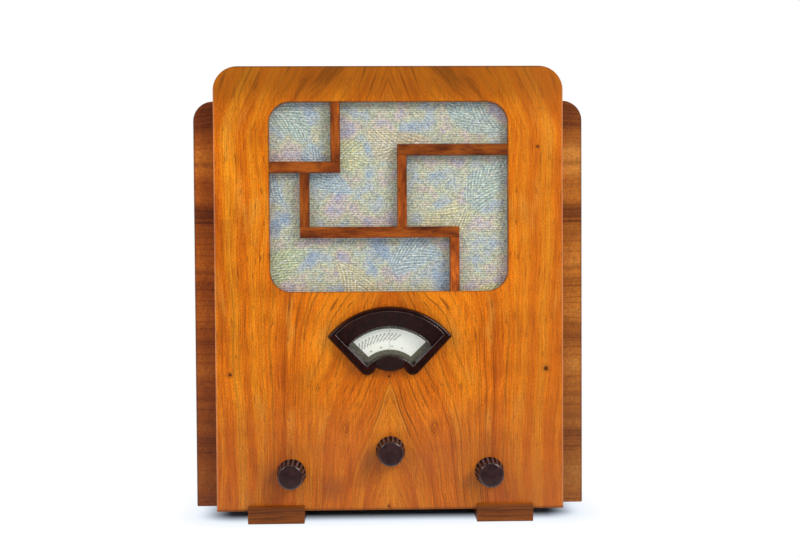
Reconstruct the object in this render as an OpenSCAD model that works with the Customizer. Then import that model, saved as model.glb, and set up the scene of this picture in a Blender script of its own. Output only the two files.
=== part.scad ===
// Table radio receiver of the early 1930s in a walnut cabinet, built piece by piece.
// Millimetres. +X is the listener's right, +Y points into the cabinet, +Z is up.
// The origin is on the table top, under the middle of the whole set.

/* [Cabinet] */
// Width of the front panel and of the bent shell behind it
panel_w = 360; // [352:1:390]
// Height of the front panel's lower edge above the table
floor_gap = 12; // [9:0.5:15]
// Depth from the panel's face to the shell's back edge
body_depth = 240; // [236:1:290]
// Thickness of the front panel
panel_t = 10; // [9.5:0.5:12]
// Radius of the panel's top corners
panel_corner_r = 25; // [15:1:32]
// Thickness of the bent plywood shell
shell_t = 9; // [6:0.5:11]
// Thickness of the base board
base_t = 10; // [9:0.5:12]
// Side of the square battens that hold the back cover
batten = 12; // [10:0.5:14]
// Leg of the triangular glue blocks in the front corners
block_leg = 16; // [10:1:18]

/* [Wings and feet] */
// Thickness of each side wing
wing_t = 22.5; // [15:0.5:30]
// Height of the wings' top above the table
wing_top = 437; // [400:1:442]
// Height of the wings' lower edge above the table
wing_bottom = 14.4; // [12:0.2:18]
// Radius of each wing's outer top corner
wing_corner_r = 20.5; // [8:0.5:22]
// How far the wings stand back from the panel's face
wing_setback = 15; // [12:1:30]
// Width of each foot rail
foot_w = 58; // [40:1:60]
// Distance between the middles of the two foot rails
foot_pitch = 236.6; // [220:1:250]
// How far the foot rails stand in front of the panel
foot_nose = 8.5; // [5:0.5:12]
// Height of the foot rail's front lip over the panel's lower edge
foot_lip = 6; // [3:0.5:9]
// Radius on the foot rail's front edges
foot_edge_r = 2; // [1:0.5:3]

/* [Grille] */
// Width of the grille opening
grille_w = 246.6; // [236:0.2:252]
// Height of the opening's sill above the panel's lower edge
grille_sill = 227; // [225:1:232]
// Height of the grille opening
grille_h = 195.6; // [180:0.2:200]
// Height of the panel's rail over the grille opening
crown_rail = 36.4; // [34:0.2:50]
// Corner radius of the grille opening
grille_corner_r = 22; // [10:1:30]
// Width of the upright fret bars
upright_w = 9.8; // [7:0.2:12]
// Width of the level fret bars
level_w = 11.6; // [8:0.2:14]
// Thickness of the stretched cloth
cloth_t = 0.8; // [0.5:0.1:1.2]
// Thickness of the baffle board that carries the loudspeaker
baffle_t = 8; // [6:0.5:10]
// Width of the baffle board
baffle_w = 300; // [290:1:308]

/* [Dial] */
// Radius of the turning scale disc
scale_r = 64; // [62:0.5:66]
// Thickness of the scale disc
scale_t = 1; // [0.8:0.1:1.2]
// Depth of the scale disc's front behind the panel's face
scale_depth = 12; // [11.8:0.1:14]
// Inner radius of the scale that the mask leaves open
mask_low_r = 36; // [35:0.5:38]
// Outer radius of the scale that the mask leaves open
mask_top_r = 58; // [52:0.5:58.5]
// Half of the angle between the flanks of the mask's opening
mask_half_angle = 45.5; // [40:0.5:48]
// Thickness of the mask plate
mask_t = 1; // [0.6:0.1:1]
// Thickness of the clear window
pane_t = 1; // [0.8:0.1:1.5]
// Height of the escutcheon's ridge in front of the panel
ridge_h = 8; // [5:0.5:10]
// Width of the escutcheon's rounded rim
rim_w = 5; // [3:0.5:6]
// Outer radius of the escutcheon's upper edge
escutcheon_r = 83.5; // [82:0.5:84]

/* [Knobs and spindles] */
// How far the knobs reach in front of the panel
knob_reach = 24; // [20:0.5:28]
// Gap between a knob's back and the panel
knob_gap = 1.5; // [1:0.1:2.5]
// Radius of a knob's base
knob_r = 15; // [12:0.5:17]
// Radius of a knob's front face
knob_face_r = 13.2; // [11:0.1:13.5]
// Radius of the knob's rounded front edge
knob_edge_r = 2.5; // [1:0.5:3]
// Number of flutes round a knob
flutes = 18; // [12:1:20]
// Radius of each flute
flute_r = 1.3; // [1:0.1:1.4]
// Distance between the two side knobs
side_knob_pitch = 205.4; // [190:0.2:220]
// Height of the side knobs above the base board
side_knob_up = 29.2; // [26:0.2:34]
// Height of the tuning knob above the base board
tuning_up = 52; // [49:0.5:53]
// Radius of all three spindles
spindle_r = 3; // [2.5:0.25:3]
// Radius of the washers that pinch the scale disc's rim
pinch_r = 10; // [8:0.5:11]

/* [Chassis] */
// Width of the chassis pan
pan_w = 300; // [296:1:310]
// Depth of the chassis pan
pan_l = 180; // [176:1:190]
// Height of the chassis pan
pan_h = 62; // [60:1:64]
// Sheet thickness of the pan and of the capacitor's frame
sheet_t = 1.5; // [1:0.1:2]
// Depth of the pan's front wall behind the panel's face
pan_depth = 24; // [23:0.5:27]

/* [Tuning capacitor] */
// Radius of the turning vanes
vane_r = 28; // [22:0.5:29]
// Thickness of every vane
vane_t = 0.8; // [0.5:0.1:1]
// Pitch of the vanes along the shaft
vane_pitch = 3.6; // [3:0.1:3.8]
// Number of turning vanes in each gang
vanes = 9; // [5:1:9]
// Half of the frame's width and height
frame_half = 38; // [37:0.5:40]
// Depth of the frame's front plate behind the panel's face
frame_depth = 34; // [33:0.5:38]

/* [Valves and cans] */
// Radius of a valve's moulded base
valve_base_r = 15.5; // [14:0.5:17]
// Height of a valve's moulded base
valve_base_h = 28; // [22:1:34]
// Radius of a valve's neck where it leaves the base
neck_r = 13; // [11:0.5:13.5]
// Swell of the glass bulb beyond its neck
bulb_swell = 9.5; // [5:0.5:10]
// Height of the swelling part of the bulb
bulb_h = 66; // [50:1:75]
// Wall of the glass bulb
glass_t = 1; // [0.8:0.1:1.5]
// Radius of a coil screening can
coil_can_r = 21; // [16:0.5:22]
// Height of a coil screening can
coil_can_h = 78; // [50:1:90]
// Radius of a smoothing capacitor can
smooth_can_r = 17; // [13:0.5:17.5]
// Height of a smoothing capacitor can
smooth_can_h = 92; // [60:1:100]

/* [Transformers] */
// Width of the mains transformer's core
core_w = 72; // [60:1:74]
// Height of the mains transformer's core
core_h = 62; // [54:1:72]
// Thickness of the mains transformer's stack
core_t = 30; // [24:1:34]
// Width of the core's middle limb
limb_w = 22; // [18:1:24]
// How far the winding stands out from the stack on each side
coil_overhang = 13; // [8:0.5:14]

/* [Loudspeaker] */
// Radius of the speaker's mounting flange
speaker_r = 104; // [98:0.5:106]
// Radius of the hole in the baffle board
cone_r = 90; // [80:0.5:92]
// Depth of the speaker's pressed basket
basket_l = 44; // [36:1:50]
// Radius of the magnet pot
pot_r = 38; // [32:0.5:42]
// Length of the magnet pot
pot_l = 58; // [45:1:64]

/* [Back cover and sockets] */
// Thickness of the fibre back cover
cover_t = 4; // [3:0.5:5]
// How far the back cover is set into the shell
cover_recess = 3; // [1:0.5:5]
// Radius of the round vent holes
vent_r = 4; // [2.5:0.25:5]
// Pitch of the round vent holes
vent_pitch = 14; // [12:0.5:16]
// Bore radius of the aerial and earth sockets
socket_r = 2; // [1.5:0.1:2.2]
// Distance between neighbouring sockets
socket_pitch = 19; // [16:0.5:22]

/* [Fastenings] */
// Radius of a wood screw's shank
screw_r = 1.6; // [1.2:0.1:1.8]
// Height of a wood screw's head
screw_head_h = 2.2; // [1.8:0.1:2.6]
// Length of a wood screw's point
screw_tip = 3; // [2:0.5:4]
// Width and depth of a screw head's slot
slot_w = 1; // [0.6:0.1:1.2]
// Radius of a wood screw's head
screw_head_r = 4; // [3:0.25:4.5]
// Radius of the chassis and speaker bolts
bolt_r = 2; // [1.5:0.1:2.5]

/* [Hidden] */
$fn = 48;
// Free play between a shaft and its bearing, on the radius
play = 0.05;
// Free play round a fastener or a spindle's mounting bush
slip = 0.05;
// Clearance between pieces that pass without touching
clear = 1;
// Length by which a cutting shape runs past the face it cuts
past = 1;

// Places that the cabinet's sizes give
face_y = -(body_depth + knob_reach) / 2 + knob_reach;
grille_z0 = floor_gap + grille_sill;
grille_z1 = grille_z0 + grille_h;
cabinet_top = grille_z1 + crown_rail;
inner_w = panel_w - 2 * shell_t;
inner_top = cabinet_top - shell_t;
inner_corner_r = panel_corner_r - shell_t;
base_z = floor_gap + base_t;
cover_depth = body_depth - cover_recess - cover_t;
baffle_depth = panel_t + cloth_t;
baffle_back = baffle_depth + baffle_t;

// Places of the controls and of the dial's centre
side_knob_x = side_knob_pitch / 2;
side_knob_z = base_z + side_knob_up;
tuning_z = base_z + tuning_up;
rim_gap = 1;
dial_z = tuning_z + scale_r + rim_gap + spindle_r;
knob_h = knob_reach - knob_gap;
bore_depth = knob_h - 4.5;
spindle_front = 0.5 - knob_gap - bore_depth;
panel_hole_r = 2 * spindle_r;

// The middles of the fret bars that cross the grille opening
grille_x1 = grille_w / 2;
fret_a_x = -55;
fret_c_x = -87;
fret_e_x = 13.6;
fret_g_x = 67.8;
fret_b_z = grille_z0 + 128.6;
fret_d_z = grille_z0 + 61.3;
fret_f_z = grille_z0 + 146.2;
speaker_z = grille_z0 + grille_h / 2;

// How far the baffle board and the cloth run past the opening's edges
baffle_below = 10;
baffle_above = 16;
cloth_side = 9;
cloth_edge = 7;

// The fan-shaped window: an upper and a lower arc, each about its own centre
window_top_r = 55;
window_top_z = dial_z + 6.3;
window_top_angle = 50.1;
window_low_r = 32;
window_low_z = dial_z - 0.6;
window_low_angle = 44.4;
tail_n = 7;
skirt_wall = 3.5;
hole_margin = skirt_wall + 0.3;
mask_depth = panel_t - mask_t;
mask_apex = 6.8;
wire_r = 0.25;
pane_depth = mask_depth - 2 * wire_r - pane_t;
window_front = 1;

// Places on the chassis, as [x, depth behind the panel's face]
deck_z = base_z + pan_h;
socket_h = 6;
valve_spots = [[-122, 52], [-122, 108], [-122, 166], [0, 166], [112, 78]];
capped_valves = [0, 1, 2];
coil_can_spots = [[-70, 60], [-70, 112]];
smooth_can_spots = [[63, 62], [56, 126]];
transformer_spot = [112, 150];
pan_back = pan_depth + pan_l;
flange_l = 14;
bolt_spots = [for (x = [-70, 70], d = [pan_depth + flange_l / 2, pan_back - flange_l / 2]) [x, d]];
bolt_head_h = 3;
bush_r = 4.5;
bush_front = pan_depth - 6;
nut_r = 8;
nut_h = 2.5;
aerial_z = base_z + pan_h / 2;
aerial_x = -60;
strip_t = 3;
strip_half_h = 8;
tube_wall = 1.5;
tube_in = 12;
tube_floor = 2;
cut_out_margin = 4;
vent_slot_z = deck_z + 60;
vent_slot_h = 50;
grommet_x = 110;
grommet_r = 5;

// The tuning capacitor: two gangs between three plates
gang_l = vanes * vane_pitch + vane_pitch;
divider_depth = frame_depth + sheet_t + gang_l;
frame_back = divider_depth + sheet_t + gang_l;
frame_base_z = dial_z - frame_half;
stator_half = frame_half - 7;
stator_rod_r = 1.4;
stator_rod = frame_half - 11;
stator_bush_r = 3.5;
sleeve_r = 5.5;
tie_rod_r = 2.2;
tie_rod = frame_half - 4;
frame_inset = 8;

// The loudspeaker, from the baffle board backwards
rim_t = 0.8;
flange_depth = baffle_back + rim_t;
basket_t = 1.5;
basket_low_r = 44;
pot_depth = flange_depth + basket_l;
coil_r = 13;
pole_r = 12;
gap_r = 15;
speaker_bolt_pcr = (speaker_r + cone_r) / 2;

// A front-view outline, x across and y up, cut from a board whose front lies d behind the panel's face
module board(d, t) {
    translate([0, face_y + d + t, 0]) rotate([90, 0, 0]) linear_extrude(height = t) children();
}

// A turned shape whose own z axis points into the cabinet, its own y axis down
module inwards(x, d, z) {
    translate([x, face_y + d, z]) rotate([-90, 0, 0]) children();
}

// A part that stands over a spot given as [x, depth], at a height
module stand(spot, z) {
    translate([spot[0], face_y + spot[1], z]) children();
}

// A turned shape whose own z axis points at the listener, its own y axis up
module outwards(x, d, z) {
    translate([x, face_y + d, z]) rotate([90, 0, 0]) children();
}

// A block between two corners given as [x, depth, z]
module block(a, b) {
    translate([a[0], face_y + a[1], a[2]]) cube([b[0] - a[0], b[1] - a[1], b[2] - a[2]]);
}

// A round bar along the depth, with an optional bore
module bar(r, l, bore = 0) {
    difference() {
        cylinder(r = r, h = l);
        if (bore > 0) translate([0, 0, -past]) cylinder(r = bore, h = l + 2 * past);
    }
}

// An outline with a flat foot and two round top corners
module arch(w, z0, z1, r) {
    translate([-w / 2, z0]) square([w, z1 - z0 - r]);
    translate([-w / 2 + r, z0]) square([w - 2 * r, z1 - z0]);
    for (s = [-1, 1]) translate([s * (w / 2 - r), z1 - r]) circle(r);
}

// An outline with four round corners
module rounded(x0, x1, z0, z1, r) {
    translate([x0, z0 + r]) square([x1 - x0, z1 - z0 - 2 * r]);
    translate([x0 + r, z0]) square([x1 - x0 - 2 * r, z1 - z0]);
    for (x = [x0 + r, x1 - r], z = [z0 + r, z1 - r]) translate([x, z]) circle(r);
}

// A round-headed wood screw, its head's underside at z = 0 and its point upwards
module wood_screw(l) {
    difference() {
        translate([0, 0, -screw_head_h]) cylinder(r1 = screw_head_r - 1, r2 = screw_head_r, h = screw_head_h);
        translate([-screw_head_r, -slot_w / 2, -screw_head_h - past])
            cube([2 * screw_head_r, slot_w, slot_w + past]);
    }
    cylinder(r = screw_r, h = l - screw_tip);
    translate([0, 0, l - screw_tip]) cylinder(r1 = screw_r, r2 = 0.4, h = screw_tip);
}

// The hole that a wood screw of length l fills
module screw_hole(l) {
    translate([0, 0, -past]) cylinder(r = screw_r + slip, h = l + past);
}

// Places of the wood screws: evenly up the cover's sides, the baffle board's sides and along the feet
cover_screw_l = cover_t + 10;
cover_screw_x = inner_w / 2 - batten / 2;
cover_screw_low = base_z + 20;
cover_screw_high = inner_top - 50;
cover_screw_z = [for (k = [0 : 3]) cover_screw_low + (cover_screw_high - cover_screw_low) * k / 3];
top_screw_x = 80;
top_screw_z = inner_top - batten / 2;
baffle_screw_edge = 6;
baffle_screw_l = baffle_t + cloth_t + 6;
baffle_screw_x = baffle_w / 2 - baffle_screw_edge;
baffle_screw_z = [grille_z0 + 15, grille_z0 + grille_h / 2, grille_z1 - 15];
foot_sink = 5;
foot_screw_l = floor_gap - foot_sink + 7;
foot_screw_end = 30;
foot_screw_d = [foot_screw_end, body_depth / 2, body_depth - foot_screw_end];

// Every wood screw's place, or with hole set every wood screw's hole
module at_wood_screws() {
    for (s = [-1, 1]) {
        for (z = cover_screw_z) outwards(s * cover_screw_x, cover_depth + cover_t, z) children(0);
        outwards(s * top_screw_x, cover_depth + cover_t, top_screw_z) children(0);
        for (z = baffle_screw_z) outwards(s * baffle_screw_x, baffle_back, z) children(1);
        for (d = foot_screw_d) translate([s * foot_pitch / 2, face_y + d, foot_sink]) children(2);
    }
}

module wood_screw_holes() {
    at_wood_screws() {
        screw_hole(cover_screw_l);
        screw_hole(baffle_screw_l);
        screw_hole(foot_screw_l);
    }
}

module wood_screws() {
    color("darkgoldenrod") at_wood_screws() {
        wood_screw(cover_screw_l);
        wood_screw(baffle_screw_l);
        wood_screw(foot_screw_l);
    }
}

// Fret bar between two corners, drawn in the front view
module fret(x0, x1, z0, z1) {
    translate([x0, z0]) square([x1 - x0, z1 - z0]);
}

// The stepped fret of seven bars that crosses the grille opening
module fret_bars() {
    u = upright_w / 2;
    v = level_w / 2;
    fret(fret_a_x - u, fret_a_x + u, fret_b_z - v, grille_z1 + past);
    fret(-grille_x1 - past, fret_a_x + u, fret_b_z - v, fret_b_z + v);
    fret(fret_c_x - u, fret_c_x + u, fret_d_z - v, fret_b_z);
    fret(fret_c_x - u, fret_g_x + u, fret_d_z - v, fret_d_z + v);
    fret(fret_e_x - u, fret_e_x + u, fret_d_z, fret_f_z + v);
    fret(fret_e_x - u, grille_x1 + past, fret_f_z - v, fret_f_z + v);
    fret(fret_g_x - u, fret_g_x + u, grille_z0 - past, fret_d_z);
}

function unit(v) = v / norm(v);

// The point at angle a from the top of an arc of radius r about height z
function arc_point(r, z, a) = [r * sin(a), z + r * cos(a)];

// Angle in degrees that a length g takes on an arc of radius r
function arc_angle(g, r) = g / r * 180 / PI;

// Points of the fillet of radius r at corner p between its neighbours a and b
function fillet(a, p, b, r, steps) = let (
        u = unit(a - p), v = unit(b - p), half = acos(u * v) / 2,
        centre = p + unit(u + v) * r / sin(half),
        from = p + u * r / tan(half) - centre, to = p + v * r / tan(half) - centre,
        start = atan2(from[1], from[0]), turn = atan2(from[0] * to[1] - from[1] * to[0], from * to))
    [for (i = [0 : steps]) centre + r * [cos(start + turn * i / steps), sin(start + turn * i / steps)]];

// Right half of a fan: a crown arc [radius, height of centre, half angle], a straight flank from its tip
// to the heel, and the tail's points from there to the middle
function half_fan(crown, tip_fillet, heel, heel_fillet, tail) = let (
        arc = [for (i = [0 : 9]) arc_point(crown[0], crown[1], crown[2] * i / 10)],
        tip = arc_point(crown[0], crown[1], crown[2]))
    concat(arc, fillet(arc[9], tip, heel, tip_fillet, 3), fillet(tip, heel, tail[0], heel_fillet, 6), tail);

// The whole fan, counter-clockwise in the front view, from its right half
function whole(half) = let (n = len(half)) concat([for (i = [n - 1 : -1 : 0]) half[i]],
    [for (i = [1 : n - 2]) [-half[i][0], half[i][1]]]);

// A counter-clockwise ring of points moved inwards by g, each along the mean of its two edges' normals
function inset(ring, g) = [for (i = [0 : len(ring) - 1]) let (
        n = len(ring), e = unit(ring[(i + 1) % n] - ring[(i + n - 1) % n]))
    ring[i] + g * [-e[1], e[0]]];

// A plain fan whose lower edge is an arc too, with small round corners
function plain_fan(crown, low) = whole(half_fan(crown, 1, arc_point(low[0], low[1], low[2]), 1,
    [for (k = [1 : tail_n]) arc_point(low[0], low[1], low[2] * (1 - k / tail_n))]));

// The window's outline, grown by g on every side
function window_fan(g) = plain_fan(
    [window_top_r + g, window_top_z, window_top_angle + arc_angle(g, window_top_r)],
    [window_low_r - g, window_low_z, window_low_angle + arc_angle(g, window_low_r)]);

module grille_hole() {
    rounded(-grille_x1, grille_x1, grille_z0, grille_z1, grille_corner_r);
}

module front_panel() {
    color("peru") difference() {
        board(0, panel_t) difference() {
            arch(panel_w, floor_gap, cabinet_top, panel_corner_r);
            grille_hole();
            polygon(window_fan(hole_margin));
            translate([0, tuning_z]) circle(panel_hole_r);
            for (s = [-1, 1]) translate([s * side_knob_x, side_knob_z]) circle(panel_hole_r);
        }
        wood_screw_holes();
    }
}

// The stepped fret, glued up from darker strips and let into the grille opening flush with the panel
module grille_fret() {
    color("saddlebrown") board(0, panel_t) intersection() {
        grille_hole();
        fret_bars();
    }
}

module cabinet_shell() {
    color("sienna") board(panel_t, body_depth - panel_t) difference() {
        arch(panel_w, floor_gap, cabinet_top, panel_corner_r);
        arch(inner_w, floor_gap - past, inner_top, inner_corner_r);
    }
}

module wing() {
    r = min(wing_corner_r, wing_t - 1);
    color("saddlebrown") board(wing_setback, body_depth - wing_setback) translate([panel_w / 2, 0]) {
        translate([0, wing_bottom]) square([wing_t, wing_top - wing_bottom - r]);
        translate([0, wing_bottom]) square([wing_t - r, wing_top - wing_bottom]);
        intersection() {
            translate([wing_t - r, wing_top - r]) circle(r);
            translate([0, wing_bottom]) square([wing_t, wing_top - wing_bottom]);
        }
    }
}

module left_wing() mirror([1, 0, 0]) wing();
module right_wing() wing();

module base_board() {
    color("burlywood") difference() {
        block([-inner_w / 2, panel_t, floor_gap], [inner_w / 2, body_depth, base_z]);
        wood_screw_holes();
        for (p = bolt_spots) stand(p, floor_gap - past)
            cylinder(r = bolt_r + slip, h = base_t + 2 * past);
    }
}

// A foot rail under the cabinet, with a nose whose lip rises in front of the panel
module foot(side) {
    nose_h = floor_gap + foot_lip;
    color("saddlebrown") difference() {
        translate([side * foot_pitch / 2 - foot_w / 2, face_y, 0]) rotate([90, 0, 90])
            linear_extrude(height = foot_w) {
                square([body_depth, floor_gap]);
                translate([-foot_nose, foot_edge_r]) square([foot_nose, nose_h - 2 * foot_edge_r]);
                translate([-foot_nose + foot_edge_r, 0]) square([foot_nose - foot_edge_r, nose_h]);
                for (z = [foot_edge_r, nose_h - foot_edge_r])
                    translate([-foot_nose + foot_edge_r, z]) circle(foot_edge_r);
            }
        wood_screw_holes();
        for (d = foot_screw_d) translate([side * foot_pitch / 2, face_y + d, -past])
            cylinder(r = screw_head_r + 0.5, h = foot_sink + past);
    }
}

module left_foot() foot(-1);
module right_foot() foot(1);

// A triangular glue block with its right angle at the origin and legs along x and y
module glue_block(l) {
    linear_extrude(height = l) polygon([[0, 0], [block_leg, 0], [0, block_leg]]);
}

module corner_blocks() {
    color("burlywood") for (s = [0, 1]) mirror([s, 0, 0]) {
        translate([-inner_w / 2, face_y + panel_t, base_z])
            glue_block(inner_top - inner_corner_r - base_z - 8);
        translate([-inner_w / 2, face_y + panel_t + block_leg + 8, base_z]) rotate([90, 0, 0])
            mirror([0, 0, 1]) linear_extrude(height = cover_depth - batten - panel_t - block_leg - 16)
                polygon([[0, 0], [batten, 0], [0, batten]]);
    }
}

module back_battens() {
    top_w = inner_w - 2 * inner_corner_r - 20;
    color("burlywood") difference() {
        union() {
            for (s = [-1, 1])
                translate([s * (inner_w - batten) / 2 - batten / 2, face_y + cover_depth - batten, base_z])
                cube([batten, batten, inner_top - inner_corner_r - base_z - 4]);
            translate([-top_w / 2, face_y + cover_depth - batten, inner_top - batten])
                cube([top_w, batten, batten]);
        }
        wood_screw_holes();
    }
}

module baffle_board() {
    z0 = grille_z0 - baffle_below;
    color("tan") difference() {
        board(baffle_depth, baffle_t) difference() {
            translate([-baffle_w / 2, z0]) square([baffle_w, grille_z1 + baffle_above - z0]);
            translate([0, speaker_z]) circle(cone_r);
            for (a = [45 : 90 : 315]) translate([0, speaker_z]) rotate(a)
                translate([speaker_bolt_pcr, 0]) circle(bolt_r + slip);
        }
        wood_screw_holes();
    }
}

// The cloth is stretched over the baffle board and glued at its edge, behind the panel
module grille_cloth() {
    color("silver") board(panel_t, cloth_t) translate([-grille_x1 - cloth_side, grille_z0 - cloth_edge])
        square([grille_w + 2 * cloth_side, grille_h + 2 * cloth_edge]);
}

// Round vent holes in a hexagon behind the loudspeaker, set in staggered rows
module vent_holes() {
    rows = 4;
    columns = 8;
    for (row = [-rows : rows], col = [-columns : columns]) {
        place = col + (abs(row) % 2) / 2;
        if (abs(place) + abs(row) / 2 < columns)
            translate([place * vent_pitch, speaker_z + row * vent_pitch * sqrt(3) / 2]) circle(vent_r);
    }
}

// The pierced fibre cover that closes the back, with cut-outs for the sockets and the cable
module back_cover() {
    w = 2 * socket_pitch + cut_out_margin;
    h = strip_half_h + cut_out_margin;
    color("sienna") difference() {
        board(cover_depth, cover_t) difference() {
            arch(inner_w - clear, base_z + clear / 2, inner_top - clear / 2, inner_corner_r);
            vent_holes();
            for (col = [-5 : 5]) translate([col * 2 * vent_pitch, 0])
                rounded(-vent_r, vent_r, vent_slot_z, vent_slot_z + vent_slot_h, vent_r * 0.99);
            rounded(aerial_x - w, aerial_x + w, aerial_z - h, aerial_z + h, 5);
            translate([grommet_x, aerial_z]) circle(grommet_r + 5);
        }
        wood_screw_holes();
    }
}

// The escutcheon's outline: its flanks end in rounded heels, with notches beside a rounded boss
escutcheon_z = dial_z - 1.6;
tip_angle = 51.2;
tip_round = 2.6;
rim_round = 2.4;
heel = [22.2, dial_z + 5];
heel_round = 8.3;
boss_z = dial_z + 24;
boss_half_w = 18;
boss_half_h = 9.6;
notch_angle = 38;
boss_curve = [for (k = [0 : tail_n - 1]) let (a = notch_angle + (90 - notch_angle) * k / (tail_n - 1))
    [boss_half_w * cos(a), boss_z - boss_half_h * sin(a)]];
escutcheon_ring = whole(half_fan([escutcheon_r, escutcheon_z, tip_angle], tip_round, heel, heel_round,
    boss_curve));

// A hoop through counter-clockwise rings of equal count, the last one joined to the first.
// Each ring is [its points in the front view, its depth behind the panel's face].
module hoop(rings) {
    n = len(rings[0][0]);
    m = len(rings);
    points = [for (r = rings, p = r[0]) [p[0], face_y + r[1], p[1]]];
    faces = [for (k = [0 : m - 1], i = [0 : n - 1]) let (j = (i + 1) % n, q = (k + 1) % m)
        [k * n + i, k * n + j, q * n + j, q * n + i]];
    polyhedron(points, faces, convexity = 8);
}

// The moulded surround: a deep bevel up from the window, a rounded rim, and a skirt into the panel
module escutcheon() {
    mouth = plain_fan([escutcheon_r - rim_w, escutcheon_z, tip_angle - 5.2],
        [window_low_r - 1, window_low_z, window_low_angle + 5.1]);
    rim = [for (a = [90 : -18 : 18]) [inset(escutcheon_ring, rim_round * (1 - cos(a))), -ridge_h * sin(a)]];
    back = [[escutcheon_ring, 0], [window_fan(skirt_wall), 0], [window_fan(skirt_wall), pane_depth]];
    front = [[window_fan(0), pane_depth], [window_fan(0), window_front], [mouth, 0.5 - ridge_h]];
    color([0.16, 0.09, 0.07]) hoop(concat(rim, back, front));
}

module dial_window() {
    color([0.85, 0.9, 0.9, 0.35]) board(pane_depth, pane_t) polygon(window_fan(skirt_wall));
}

module dial_mask() {
    color("slategray") board(mask_depth, mask_t) difference() {
        polygon(window_fan(skirt_wall));
        translate([0, dial_z]) intersection() {
            difference() {
                circle(mask_top_r);
                circle(mask_low_r);
            }
            translate([0, mask_apex]) polygon([[0, 0],
                2 * mask_top_r * [sin(mask_half_angle), cos(mask_half_angle)],
                2 * mask_top_r * [-sin(mask_half_angle), cos(mask_half_angle)]]);
        }
    }
}

// The hair line that the scale is read against, laid across the mask
module index_wire() {
    color("dimgray") translate([0, face_y + mask_depth - wire_r, dial_z + mask_low_r - 0.8])
        cylinder(r = wire_r, h = mask_top_r - mask_low_r + 1.6);
}

hub_r = 14;
spigot_r = 8;
hub_plate_t = 0.9;

// The clear scale disc turns with the capacitor and is driven at its rim
module scale_disc() {
    color("ivory") inwards(0, scale_depth, dial_z) bar(scale_r, scale_t, spigot_r + slip);
}

// The brass hub that clamps the scale disc on the capacitor's shaft
module scale_hub() {
    color("goldenrod") inwards(0, scale_depth, dial_z) difference() {
        union() {
            translate([0, 0, -hub_plate_t]) cylinder(r = hub_r, h = hub_plate_t);
            cylinder(r = spigot_r, h = scale_t + 1);
            translate([0, 0, scale_t]) cylinder(r = hub_r, h = 2);
            translate([0, 0, scale_t]) cylinder(r = spigot_r, h = 10);
        }
        translate([0, 0, -2]) cylinder(r = spindle_r + slip, h = 16);
        translate([0, 0, 7]) rotate([0, 90, 0]) cylinder(r = 1.5, h = 10);
    }
}

lamp_x = 26;
lamp_z = dial_z + frame_half + 8;
lamp_r = 5;
lamp_l = 14;
holder_wall = 1.5;
holder_l = 16;
holder_reach = 7;
lamp_plate_depth = frame_depth - sheet_t;

// The bracket on the capacitor's front plate that holds the two dial lamps behind the scale
module lamp_bracket() {
    color("silver") difference() {
        union() {
            board(lamp_plate_depth, sheet_t)
                rounded(-lamp_x - 10, lamp_x + 10, dial_z + frame_half - 12, lamp_z + 9, 3);
            for (s = [-1, 1]) inwards(s * lamp_x, lamp_plate_depth - holder_reach, lamp_z)
                bar(lamp_r + holder_wall, holder_l);
        }
        for (s = [-1, 1]) inwards(s * lamp_x, lamp_plate_depth - holder_reach - past, lamp_z)
            cylinder(r = lamp_r, h = lamp_l + past);
    }
}

// Two small lamps in their holders, the round ends of their bulbs towards the scale
module dial_lamps() {
    r = lamp_r - slip;
    color("lightyellow") for (s = [-1, 1])
        inwards(s * lamp_x, lamp_plate_depth - holder_reach - past, lamp_z) {
            sphere(r = r);
            cylinder(r = r, h = lamp_l);
        }
}

grub_up = 5;
grub_r = 1.5;

// A fluted knob standing on z = 0, turned to a domed face, with a blind bore for its spindle
module knob() {
    skirt = 2;
    dome = 0.8;
    lean = atan2(knob_r - knob_face_r, knob_h - skirt);
    bore = [[0, bore_depth], [spindle_r + slip, bore_depth], [spindle_r + slip, 0]];
    profile = concat(bore, [[knob_r, 0], [knob_r, skirt]],
        [for (a = [0 : 15 : 90])
            [knob_face_r - knob_edge_r * (1 - cos(a)), knob_h - dome - knob_edge_r * (1 - sin(a))]],
        [[0, knob_h]]);
    color([0.2, 0.12, 0.09]) difference() {
        rotate_extrude($fn = 96) polygon(profile);
        for (i = [0 : flutes - 1]) rotate([0, 0, (i + 0.5) * 360 / flutes])
            translate([knob_r + flute_r * 0.35, 0, skirt]) rotate([0, -lean, 0])
                cylinder(r = flute_r, h = knob_h + 2, $fn = 24);
        translate([0, 0, grub_up]) rotate([90, 0, 0]) cylinder(r = grub_r, h = knob_r + 1);
    }
}

module grub_screw() {
    color("dimgray") translate([0, -spindle_r, grub_up]) rotate([90, 0, 0]) difference() {
        translate([0, 0, slip]) cylinder(r = grub_r - slip, h = knob_r - spindle_r - 3);
        translate([-grub_r, -0.3, knob_r - spindle_r - 4]) cube([2 * grub_r, 0.6, 2]);
    }
}

module volume_knob() outwards(-side_knob_x, -knob_gap, side_knob_z) knob();
module tuning_knob() outwards(0, -knob_gap, tuning_z) knob();
module wave_knob() outwards(side_knob_x, -knob_gap, side_knob_z) knob();
module volume_grub_screw() outwards(-side_knob_x, -knob_gap, side_knob_z) grub_screw();
module tuning_grub_screw() outwards(0, -knob_gap, tuning_z) grub_screw();
module wave_grub_screw() outwards(side_knob_x, -knob_gap, side_knob_z) grub_screw();

track_r = 14;
track_l = 13;
track_depth = pan_depth + sheet_t;

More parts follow.
